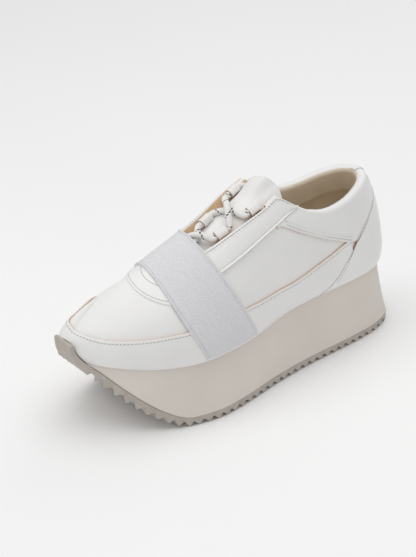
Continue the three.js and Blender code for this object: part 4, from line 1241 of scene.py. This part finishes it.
counter_run = np.concatenate([np.linspace(0, 1, COUNTER_ROWS), 1 + np.linspace(0, 0.62, 14)[1:]])
counter_angle = from_table(COUNTER_FRONT, np.clip(counter_run, 0, 1) * heel_end)
counter_angle = np.where(counter_run > 1, counter_angle[COUNTER_ROWS - 1], counter_angle)
across = np.concatenate([[-1, -0.994, -0.985], np.linspace(-0.96, 0.96, 90), [0.985, 0.994, 1]])
counter_grid_angle = counter_angle[:, None] * across[None]
counter_grid_run = np.broadcast_to(counter_run[:, None], counter_grid_angle.shape)
edge_factor = 0.5 + 0.5 * quarter_round((1 - np.abs(across)) / COUNTER_EDGE)
counter_lift = COUNTER * edge_factor[None] + counter_puff(counter_run)[:, None]
counter_lift = counter_lift * np.where(counter_run > 1, 1 - ROLL_THINNING * (counter_run - 1), 1)[:, None]
counter_top = collar_point(counter_grid_angle, counter_grid_run, counter_lift)
counter_under = collar_point(counter_grid_angle, counter_grid_run, np.full(counter_lift.shape, -SUNK))
column_of_face = np.tile(np.arange(len(across) - 1), len(counter_run) - 1)
counter_look = (column_of_face < 1) | (column_of_face > len(across) - 3)
counter = sheet("heel_counter", counter_top, counter_under, [white_leather, brown_edge], (counter_look, 0, 1))

# %% Stitch the heel counter
counter_rows = []
for side in (1, -1):
    rise = np.linspace(0.03, 0.40, 110)
    angle = side * (from_table(COUNTER_FRONT, rise) - STITCH_BEHIND_EDGE)
    counter_rows.append(seam_path(ring_skin, angle, rise, COUNTER + counter_puff(rise / heel_end)))
stitch_rows("heel_counter_stitches", counter_rows)

# %% [markdown]
# ## Eyestays
# A strip on each side stiffens the throat's edge. Its long lower edge is folded under rather than
# cut, so it stands up as a rounded welt without any tan, while the throat's own edge is raw.

# %% Measures of the eyestays
EYESTAY_LOW = np.array([  # turn, climb of the folded edge
    (1.185, 0.525), (1.348, 0.517), (1.54, 0.521), (1.78, 0.529), (2.02, 0.535),
])
EYESTAY, EYESTAY_EDGE, EYESTAY_CROWN = 1.3, 0.02, 0.35
EYESTAY_TURN = np.linspace(1.19, 1.98, 170)
MEDIAL_WIDTH, LEAST_WIDTH = 0.155, 0.006  # in climb
SMOOTHING = 9  # columns that the throat's edge is averaged over
WELT = (0.85, 0.045, 0.034)  # height, place and width as shares of the strip
TROUGH, GROOVE = (0.55, 0.105, 0.018), (0.3, 0.87, 0.02)
STAY_STITCHES = {1: ((0.90, 8), (0.80, 20)), -1: ((0.88, 8),)}  # share of the strip, first column


# %% Build the two eyestays
def eyestay_borders(side):
    """The folded edge and the throat's edge of one eyestay, as (turn, climb) for each column."""
    low = from_table(EYESTAY_LOW, EYESTAY_TURN)
    high = np.pad(end_of_rise(side * EYESTAY_TURN), SMOOTHING // 2, mode="edge")
    high = np.convolve(high, np.ones(SMOOTHING) / SMOOTHING, mode="valid")
    if side < 0:
        low = high - np.minimum(high - 0.5, MEDIAL_WIDTH)
    high = np.maximum(high, low + LEAST_WIDTH)
    return EYESTAY_TURN, on_side(low, side < 0), on_side(high, side < 0)


eyestay_rows = []
for side, name in ((1, "eyestay_lateral"), (-1, "eyestay_medial")):
    turn, low, high = eyestay_borders(side)
    rows = np.concatenate([
        [0, 0.008, 0.018, 0.03, 0.045, 0.06, 0.075, 0.09, 0.105, 0.12, 0.14, 0.17],
        np.linspace(0.21, 0.78, 14), np.linspace(0.80, 0.985, 17), [0.993, 0.997, 1],
    ])
    ribs = [height * bell(rows, middle, width) for height, middle, width in (WELT, TROUGH, GROOVE)]
    lift = EYESTAY * border_height(rows, EYESTAY_EDGE) + ribs[0] - ribs[1] - ribs[2]
    lift = lift + EYESTAY_CROWN * np.sin(np.pi * rows)
    climb = low[None] + (high - low)[None] * rows[:, None]
    top, under = skin(turn, climb, lift[:, None]), skin(turn, climb, -SUNK)
    faces = grid_faces(len(rows), len(turn))
    if side < 0:
        faces = faces[:, ::-1]
    points, every, part = thicken(top, under, faces)
    look = cut_look(part, faces, len(rows), len(turn), (0, 1))
    stay = make_piece(name, points, every, [white_leather, pale_edge], look)
    for share, first in STAY_STITCHES[side]:
        row_climb = (low + (high - low) * share)[first:]
        eyestay_rows.append(seam_path(skin, turn[first:], row_climb, EYESTAY + 0.1))
stitch_rows("eyestay_stitches", eyestay_rows)

# %% [markdown]
# ## Saddle tab
# A half-moon piece reinforces the middle of the vamp and slips under the strap. It is laid out in
# polar form from a centre under the strap. Its inner arc is only stitching.

# %% Build the saddle tab
TAB_CENTRE = (194.5, 2.5)
TAB_RADIUS, TAB_ARC_RADIUS, TAB_CORE = 25.6, 15.2, 2.0
TAB_THICK, TAB_STITCH_INSET = 0.9, 1.9


def tab_point(swing, radius, lift=0.0):
    """A point of the tab by direction and distance from its centre, both seen from above."""
    swing, radius = np.broadcast_arrays(np.asarray(swing, float), np.asarray(radius, float))
    turn, climb = spot_from_above(
        TAB_CENTRE[0] + radius * np.cos(swing), TAB_CENTRE[1] + radius * np.sin(swing)
    )
    return skin(turn, climb, lift)


tab_swing = np.radians(np.linspace(-100, 100, 110))
tab_low = np.stack([tab_swing, np.full_like(tab_swing, TAB_RADIUS)], -1)
tab_high = np.stack([tab_swing, np.full_like(tab_swing, TAB_CORE)], -1)
saddle_tab = overlay(
    "saddle_tab", tab_point, tab_low, tab_high, 16, (0.022, 0.01), [white_leather, pale_edge],
    raw=(0, 0), soft=((True, False), (False, False)), height=TAB_THICK,
)
tab_rows = []
for radius, swing_end in ((TAB_RADIUS - TAB_STITCH_INSET, 95), (TAB_ARC_RADIUS, 70)):
    swing = np.radians(np.linspace(-swing_end, swing_end, 70))
    tab_rows.append(seam_path(tab_point, swing, np.full_like(swing, radius), TAB_THICK))
stitch_rows("saddle_tab_stitches", tab_rows)

# %% [markdown]
# ## Inner facing of the throat
# Along the inner side the throat stands open, and the unlined flesh side of the leather shows under
# its edge as a strip of warm brown. It is a narrow sheet from the edge down to the tongue.

# %% Build the throat's facings
FACING_DEPTHS = np.array([0.9, 0.4, -1.0, -2.6, -4.4, -6.4, -8.5])
FACING_REACHES = np.array([-0.3, 0.25, 0.7, 1.2, 1.9, 2.6, 3.4])
FACINGS = (  # side, name, first turn, extra depth, share of the reach
    (1, "throat_facing_lateral", 1.36, 1.4, 0.5), (-1, "throat_facing_medial", 1.2, 0.0, 1.0),
)
FACING_END, FACING_THICK = 2.0, 1.0
for side, name, first_turn, deeper, reach_share in FACINGS:
    facing_turn = np.linspace(first_turn, FACING_END, 120)
    facing_climb = np.interp(facing_turn, EYESTAY_TURN, eyestay_borders(side)[2])
    edge = skin(facing_turn, facing_climb)
    normal = last_normal(facing_turn, facing_climb)
    ahead = unit(np.gradient(edge, axis=0))
    inward = unit(np.cross(normal, ahead)) * (-1 if side > 0 else 1)
    depths, reaches = FACING_DEPTHS - deeper, FACING_REACHES * reach_share
    front = edge[None] + normal[None] * depths[:, None, None] + inward[None] * reaches[:, None, None]
    back = front - inward[None] * FACING_THICK
    facing = sheet(name, front, back, [facing_suede], flip=side > 0)

# %% [markdown]
# ## Tongue
# The tongue is a soft padded flap under the throat. It is a closed cushion: a grid between its two
# long edges, with a top and a bottom that meet in a rounded edge. It sinks towards the inner side
# and stands up a little at its top.

# %% Build the tongue
TONGUE_THICK, TONGUE_TIP = 3.4, 4.0
TONGUE_DEPTH, TONGUE_SINK, TONGUE_DIP, TONGUE_STAND = 4.2, 3.2, 2.4, 4.0
SINK_SIDES, DIP_STATIONS, STAND_STATIONS = (3, 14), (140, 172), (106, 126)
STAND_MIDDLE, STAND_SIDES = -3, (5, 15)
TONGUE_COLUMNS, TONGUE_ROWS = 90, 44


def tongue_depth(points):
    """How far the tongue's outer face lies under the upper's outer surface."""
    x, y, _ = np.moveaxis(points, -1, 0)
    offset = y - ridge(x, 2)
    middle = 1 - ease(*STAND_SIDES, np.abs(offset - STAND_MIDDLE))
    sink = TONGUE_SINK * ease(*SINK_SIDES, -offset)
    dip = TONGUE_DIP * ease(*DIP_STATIONS, x)
    stand = TONGUE_STAND * (1 - ease(*STAND_STATIONS, x)) * middle
    return TONGUE_DEPTH + sink + dip - stand


tongue_station = TONGUE[0, 0] + np.ptp(TONGUE[:, 0]) * np.linspace(0, 1, TONGUE_COLUMNS) ** 1.5
outer_spots = spot_from_above(tongue_station, from_table(TONGUE, tongue_station))
inner_spots = spot_from_above(tongue_station, -from_table(TONGUE, tongue_station, 2))
tongue_across = (1 - np.cos(np.linspace(0, np.pi, TONGUE_ROWS))) / 2
turn, climb = (
    outer + (inner - outer) * tongue_across[:, None] for outer, inner in zip(outer_spots, inner_spots)
)
sides_fall = np.sqrt(np.clip(1 - np.abs(2 * tongue_across - 1) ** 6, 0, 1))[:, None]
top_fall = quarter_round((tongue_station - TONGUE[0, 0]) / TONGUE_TIP)[None]
half = TONGUE_THICK / 2 * sides_fall * top_fall
centre_depth = tongue_depth(last_point(turn, climb)) + TONGUE_THICK / 2
top = skin(turn, climb, half - centre_depth)
under = skin(turn, climb, -half - centre_depth)
tongue = sheet("tongue_pad", top, under, [white_leather, beige_lining], (0, 1, 0), sharp=60)
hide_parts("tongue")

# %% [markdown]
# ## Elastic strap
# A wide band of woven elastic goes over the vamp and is caught under the sole on both sides. It has
# a firm selvedge: close to each long edge the weave thickens into a thin raised rib.

# %% Build the strap
STRAP_SKEW, STRAP_INNER_SKEW = 0.11, 0.22
STRAP_SKEW_FROM = -9  # side distance from which the inner skew adds to the other
STRAP_LIFT, STRAP_THICK, STRAP_SPAN, STRAP_TUCK = 2.3, 1.5, 48, 1.4
SELVEDGE, SELVEDGE_GROOVE = (0.45, 1.1, 0.75), (0.5, 2.5, 0.32)  # height, place and width
CORNER_DROP, CORNER_WIDTH = 0.55, 0.6


def strap_edge_turn(climb, column):
    """The turn at which each climb meets the strap's edge seen from the side, by halving."""
    low, high = np.full_like(climb, 1.2), np.full_like(climb, 2.9)
    for _ in range(40):
        middle = (low + high) / 2
        x, y, z = last_point(middle, climb).T
        edge = from_table(STRAP_EDGE, z, column) + STRAP_SKEW * y
        beyond = x > edge + STRAP_INNER_SKEW * np.minimum(y - STRAP_SKEW_FROM, 0)
        high, low = np.where(beyond, middle, high), np.where(beyond, low, middle)
    return (low + high) / 2


strap_climb = np.linspace(0.0, 2.0, 241)
strap_rear, strap_front = strap_edge_turn(strap_climb, 1), strap_edge_turn(strap_climb, 2)
edge_steps = np.array([
    0, 0.003, 0.008, 0.014, 0.021, 0.028, 0.035, 0.041, 0.046, 0.050, 0.054, 0.059, 0.065, 0.073,
])
strap_steps = np.concatenate([edge_steps, np.linspace(0.085, 0.915, 56), 1 - edge_steps[::-1]])
from_edge = np.minimum(strap_steps, 1 - strap_steps) * STRAP_SPAN
rib, groove = (size * bell(from_edge, middle, width) for size, middle, width in (SELVEDGE, SELVEDGE_GROOVE))
strap_lift = STRAP_LIFT + rib - groove - CORNER_DROP * (1 - quarter_round(from_edge / CORNER_WIDTH))
turn = strap_rear[:, None] + (strap_front - strap_rear)[:, None] * strap_steps[None]
climb = np.broadcast_to(strap_climb[:, None], turn.shape)
tuck = STRAP_TUCK * (1 - ease(0, 0.06, np.minimum(strap_climb, 2 - strap_climb)))[:, None]
top = skin(turn, climb, strap_lift[None] - tuck)
under = skin(turn, climb, strap_lift[None] - tuck - STRAP_THICK)
middle_line = top[:, len(strap_steps) // 2]
along_strap = distance_along(middle_line) * MM
across_strap = np.concatenate([
    np.zeros((len(strap_climb), 1)), np.cumsum(np.linalg.norm(np.diff(top, axis=1), axis=2), axis=1)
], 1) * MM
weave = np.stack(np.broadcast_arrays(along_strap[:, None], across_strap, 0.0), -1).reshape(-1, 3)
strap_fields = {"weave": np.concatenate([weave, weave])}
strap = sheet("elastic_band", top, under, [grey_elastic], fields=strap_fields)
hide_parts("elastic_strap")
strap_width, strap_length = float(across_strap[:, -1].mean()), float(along_strap[-1])
print("strap", round(strap_width / MM, 1), "mm wide,", round(strap_length / MM, 1), "mm long")

# %% [markdown]
# ## Folded loops
# Each loop is a strip of leather folded round the lace and caught under the throat's edge. Its
# section is a flattened oval with a real wall; the mouths at both ends are cut raw.

# %% Build the loops
OVAL_POWER, MOUTH_FLARE, MOUTH_TILT = 2.6, 0.05, 0.25


def loop_shape(centre, along, out, across, steps=56, rows=9):
    """An oval tube: |x / a|^p + |y / b|^p = 1 across the loop, carried along its axis, with the
    mouths flared a little; the inner oval is one wall smaller."""
    angle = np.arange(steps) * 2 * np.pi / steps
    oval_x, oval_y = (
        np.sign(wave) * np.abs(wave) ** (2 / OVAL_POWER) for wave in (np.cos(angle), np.sin(angle))
    )
    share = np.linspace(-1, 1, rows)
    flare = 1 + MOUTH_FLARE * share**2
    layers = []
    for shrink in (0.0, LOOP_WALL):
        x = (SHOWN_WIDTH / 2 - shrink) * flare[:, None] * oval_x
        y = (SHOWN_HEIGHT / 2 - shrink) * flare[:, None] * oval_y
        run = share[:, None] * (SHOWN_LENGTH / 2 + MOUTH_TILT * oval_y[None] * np.sign(share[:, None]))
        layers.append(centre + x[..., None] * across + y[..., None] * out + run[..., None] * along)
    return layers


for name, (centre, along, out, across) in loop_frames.items():
    outer_oval, inner_oval = loop_shape(centre, along, out, across)
    faces = grid_faces(outer_oval.shape[0], outer_oval.shape[1], wrap=True)
    if np.cross(across, out) @ along > 0:
        faces = faces[:, ::-1]
    points, every, part = thicken(outer_oval, inner_oval, faces)
    loop_look = (part == 2).astype(int)
    loop = make_piece(f"folded_loop_{name}", points, every, [loop_leather, tan_edge], loop_look)
    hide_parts(f"lace_loop_{name}")

# %% [markdown]
# ## Insole
# The footbed is a thin sheet of the same beige leather as the lining, cupped slightly at its edge.

# %% Build the insole
def plank(edge, inset, steps=160, across=41):
    """Stations and side distances of a flat piece inside an outline: the turn runs from heel to toe
    and each row goes straight from the inner to the outer side."""
    turn = np.linspace(0, np.pi, steps)
    station, outer_side = edge(turn)
    _, inner_side = edge(2 * np.pi - turn)
    middle = (outer_side + inner_side) / 2
    half = np.maximum((outer_side - inner_side) / 2 - inset, 0)
    share = np.sin(np.linspace(-np.pi / 2, np.pi / 2, across))
    x = np.clip(station, edge(0.0)[0] + inset, edge(np.pi)[0] - inset)
    x = np.broadcast_to(x[:, None], (steps, across))
    return x, middle[:, None] + half[:, None] * share[None], np.broadcast_to(share, (steps, across))


INSOLE_THICK, INSOLE_INSET = 4.0, 3.0
CUP_RISE, CUP_HOLLOW, EDGE_DROP, EDGE_LIFT = 1.6, 0.6, 1.2, 0.6
x, y, share = plank(feather_edge, INSOLE_INSET)
foot = feather_height(x)
cup = CUP_RISE * np.abs(share) ** 4 - CUP_HOLLOW * (1 - share**2)
round_edge = 1 - np.sqrt(np.clip(1 - np.abs(share) ** 16, 0, 1))
top = foot + GAP + INSOLE_THICK + cup * (1 - round_edge) - EDGE_DROP * round_edge
under = foot + GAP + EDGE_LIFT * round_edge
insole = sheet("footbed", np.stack([x, y, top], -1), np.stack([x, y, under], -1), [beige_lining])
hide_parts("insole")

# %% [markdown]
# ## Midsole
# The foam platform flares from the feather line out to the sole's edge. Each ring goes once round
# the shoe; the wall between the bottom ring and the top ring is slightly hollow, and where the
# outsole climbs over the toe the foam tapers away to nothing.

# %% Build the midsole
FOAM_COLUMNS, FOAM_EDGE, FOAM_ROUND = 480, 0.012, 0.9
FOAM_LEAST, FOAM_LIP = 0.2, 0.25  # least thickness where the outsole climbs, and the lip over it
WALL_PLACE, WALL_REACH = [0, 1 / 3, 2 / 3, 1], [0, 0.38, 0.72, 1]  # the slightly hollow wall
foam_angle = np.linspace(0, 2 * np.pi, FOAM_COLUMNS + 1)[:-1]
foam_share = border_steps(40, FOAM_EDGE)
low_x, low_y = sole_edge(foam_angle)
middle_x = (SOLE_BACK + SOLE_TOE) / 2
keep = 1 - OUTSOLE_PROUD / np.hypot(low_x - middle_x, low_y)
low_x, low_y = middle_x + (low_x - middle_x) * keep, low_y * keep
high_x, high_y = feather_edge(foam_angle)
across_share = smooth_curve(WALL_PLACE, WALL_REACH, foam_share)[:, None]
edge_round = FOAM_ROUND * (1 - border_height(foam_share, FOAM_EDGE))[:, None]
outward = unit(np.stack([np.gradient(low_y), -np.gradient(low_x)], -1))
x = low_x + (high_x - low_x) * across_share - edge_round * outward[:, 0]
y = low_y + (high_y - low_y) * across_share - edge_round * outward[:, 1]
toe_limit = np.interp(feather_height(FEATHER_TOE) - 2 * GAP, envelope_z, envelope_x) - GAP
x = np.minimum(x, toe_limit)
floor_z = outsole_top(x)
top_z = np.maximum(feather_height(high_x) - GAP, outsole_top(high_x) + FOAM_LIP)
foam_bottom = np.minimum(outsole_top(low_x), top_z - FOAM_LEAST)
z = np.maximum(foam_bottom + (top_z - foam_bottom) * foam_share[:, None], np.minimum(floor_z, top_z))
foam_grid = np.stack([x, y, z], -1)
rows, columns = foam_grid.shape[:2]
wall = grid_faces(rows, columns, wrap=True)
i = np.arange(columns // 2)
lid = np.stack([i, i + 1, columns - i - 1, (columns - i) % columns], -1)
top_lid = lid + (rows - 1) * columns
every = np.concatenate([wall, lid, top_lid[:, ::-1]])
midsole = make_piece("foam_platform", foam_grid.reshape(-1, 3), every, [midsole_foam], sharp=50)
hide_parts("midsole")

# %% [markdown]
# ## Outsole
# The rubber sheet has a row of cross lugs shaped like a saw with rounded roots: steep towards the
# heel and sloping towards the toe. The section at each step along the ground line is a closed ring
# as wide as the sole there, with small rounds at its four corners.

# %% The lugs along the ground line
TOOTH_ALONG = [0, 0.14, 0.26, 0.40, 0.56, 0.96, 1.0]
TOOTH_DEPTH = [0, 0.0, 0.6, 1.0, 0.92, 0.05, 0.0]
steps_in_tooth = np.array([0, 0.07, 0.14, 0.18, 0.22, 0.26, 0.31, 0.36, 0.41, 0.48, 0.56, 0.68, 0.82, 0.92])
BUMPER_FOOT, BUMPER_FOOT_OVER = 0.9, 4  # the bumper's underside lies this far above the line
END_STEPS, END_LENGTH = np.array([0.12, 0.4, 0.75, 1.0]), 1.3  # the rounded end of the bumper
CORNER_INSET, SQUARE_CUT_OVER, FADE_WIDTH = 0.35, 14, 0.16
LUGS_FADE_FROM, LUGS_FADE_TO = TEETH_END - 52, TEETH_END - 30
tooth_count = int(TEETH_END // LUG_PITCH)
tooth_tips = TEETH_END - (np.arange(tooth_count) + 1) * LUG_PITCH
tread_runs = (tooth_tips[:, None] + LUG_PITCH * (1 - steps_in_tooth[None])).ravel()
heel_runs = 1 + 12 * np.linspace(0, 1, 14) ** 2
bumper_runs = np.linspace(TEETH_END, RUN_END, 26)
runs = np.unique(np.concatenate([tread_runs[tread_runs > 1.0], heel_runs, bumper_runs]).round(3))
tooth_place = np.mod((TEETH_END - runs) / LUG_PITCH, 1.0)
lift = LUG_DEPTH * smooth_curve(TOOTH_ALONG, TOOTH_DEPTH, tooth_place)
foot_rise = BUMPER_FOOT * ease(TEETH_END, TEETH_END + BUMPER_FOOT_OVER, runs)
lift = np.where(runs > TEETH_END, foot_rise, lift)
thickness = outsole_thickness(runs)
end_turn = END_STEPS * np.pi / 2
runs = np.concatenate([runs, RUN_END + np.sin(end_turn) * END_LENGTH])
middle_height = (lift[-1] + thickness[-1]) / 2
half_height = (thickness[-1] - lift[-1]) / 2 * np.cos(end_turn)
lift = np.concatenate([lift, middle_height - half_height])
thickness = np.concatenate([thickness, middle_height + half_height])


# %% Build the outsole
def point_above(where, distance):
    """above_ground, carried straight on past the end of the line."""
    x, z = above_ground(np.minimum(where, RUN_END), distance)
    beyond = np.maximum(where - RUN_END, 0)
    return x + np.cos(ground_angle[-1]) * beyond, z + np.sin(ground_angle[-1]) * beyond


def half_widths(station):
    """Outer and inner side distance of the sole's outline at a station."""
    share = np.clip(2 * (station - SOLE_BACK) / (SOLE_TOE - SOLE_BACK), 0, 2)
    angle = np.arccos(np.clip(1 - share, -1, 1))
    return sole_edge(angle)[1], sole_edge(2 * np.pi - angle)[1]


across_low = np.array([-1, -0.97, -0.93, -0.88, -0.8, -0.6, -0.4, -0.2, 0])
across_low = np.concatenate([across_low, -across_low[-2::-1]])
section_across = np.concatenate([across_low, [1, 1, 1], across_low[::-1], [-1, -1, -1]])
section_up = np.concatenate([np.zeros(17), [0.12, 0.5, 0.88], np.ones(17), [0.88, 0.5, 0.12]])
inset = np.zeros(len(section_across))
inset[[0, 16, 20, 36]] = CORNER_INSET
fade_across = ease(0, FADE_WIDTH, 1 - np.abs(section_across))
fade = ease(LUGS_FADE_FROM, LUGS_FADE_TO, runs)[:, None] * fade_across[None]
fade = fade * (runs < TEETH_END)[:, None]
low_side = lift[:, None] + np.maximum(LUG_DEPTH - lift[:, None], 0) * fade
distance = low_side + (thickness[:, None] - low_side) * section_up[None]
x, z = point_above(np.broadcast_to(runs[:, None], distance.shape), distance)
square_cut = ease(TEETH_END - SQUARE_CUT_OVER, TEETH_END, runs)[:, None]
width_x = x + (x.min(1, keepdims=True) - x) * square_cut
outer_side, inner_side = half_widths(width_x)
middle, half = (outer_side + inner_side) / 2, np.maximum((outer_side - inner_side) / 2 - inset, 0)
y = middle + half * section_across[None]
outsole_grid = np.stack([x, y, z], -1)
faces = grid_faces(*outsole_grid.shape[:2], wrap=True)[:, ::-1]
outsole = make_piece("lug_outsole", outsole_grid.reshape(-1, 3), faces, [outsole_rubber], sharp=28)
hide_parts("outsole")

# %% [markdown]
# ## Studio
# A large pale floor, a broad soft light above, a key from the front left and a weak fill keep the
# whites apart without hard shadows. The floor is not attached to the shoe's body, so it isn't part
# of the shoe.

# %% Floor and lights
FLOOR_HALF, FLOOR_DARK, FLOOR_LIGHT = 4.0, 0.955, 0.97
WORLD_LIGHT = 0.455
floor_finish = Finish("studio_floor", 0.6)
floor_tone = floor_finish.noise(floor_finish.place(), 3, 2)
floor_finish.colour(floor_tone, (0.3, (FLOOR_DARK,) * 3), (0.7, (FLOOR_LIGHT,) * 3))
floor_mesh = bpy.data.meshes.new("studio_floor")
corners = [(x * FLOOR_HALF, y * FLOOR_HALF, 0) for x, y in ((-1, -1), (1, -1), (1, 1), (-1, 1))]
floor_mesh.from_pydata(corners, [], [(0, 1, 2, 3)])
floor_mesh.materials.append(floor_finish.material)
floor = bpy.data.objects.new("studio_floor", floor_mesh)
bpy.context.scene.collection.objects.link(floor)

LIGHTS = {  # place, size and power of each soft light, all aimed at the shoe
    "overhead": ((0.05, 0.0, 1.5), 1.8, 11),
    "key": ((1.3, -0.4, 1.1), 1.2, 4.2),
    "fill": ((0.3, 1.7, 0.7), 1.4, 1.2),
    "back": ((-1.3, -0.6, 0.9), 1.2, 2.5),
}
for name, (where, size, power) in LIGHTS.items():
    light = bpy.data.lights.new(name, "AREA")
    light.shape = "DISK"
    light.size = size
    light.energy = power
    lamp = bpy.data.objects.new(name, light)
    lamp.location = where
    lamp.rotation_mode = "QUATERNION"
    lamp.rotation_quaternion = (aim - Vector(where)).to_track_quat("-Z", "Y")
    bpy.context.scene.collection.objects.link(lamp)
world = bpy.data.worlds.new("studio_air")
world.use_nodes = True
world.node_tree.nodes["Background"].inputs["Color"].default_value = (1, 1, 1, 1)
world.node_tree.nodes["Background"].inputs["Strength"].default_value = WORLD_LIGHT
bpy.context.scene.world = world
bpy.context.scene.view_settings.view_transform = "Standard"
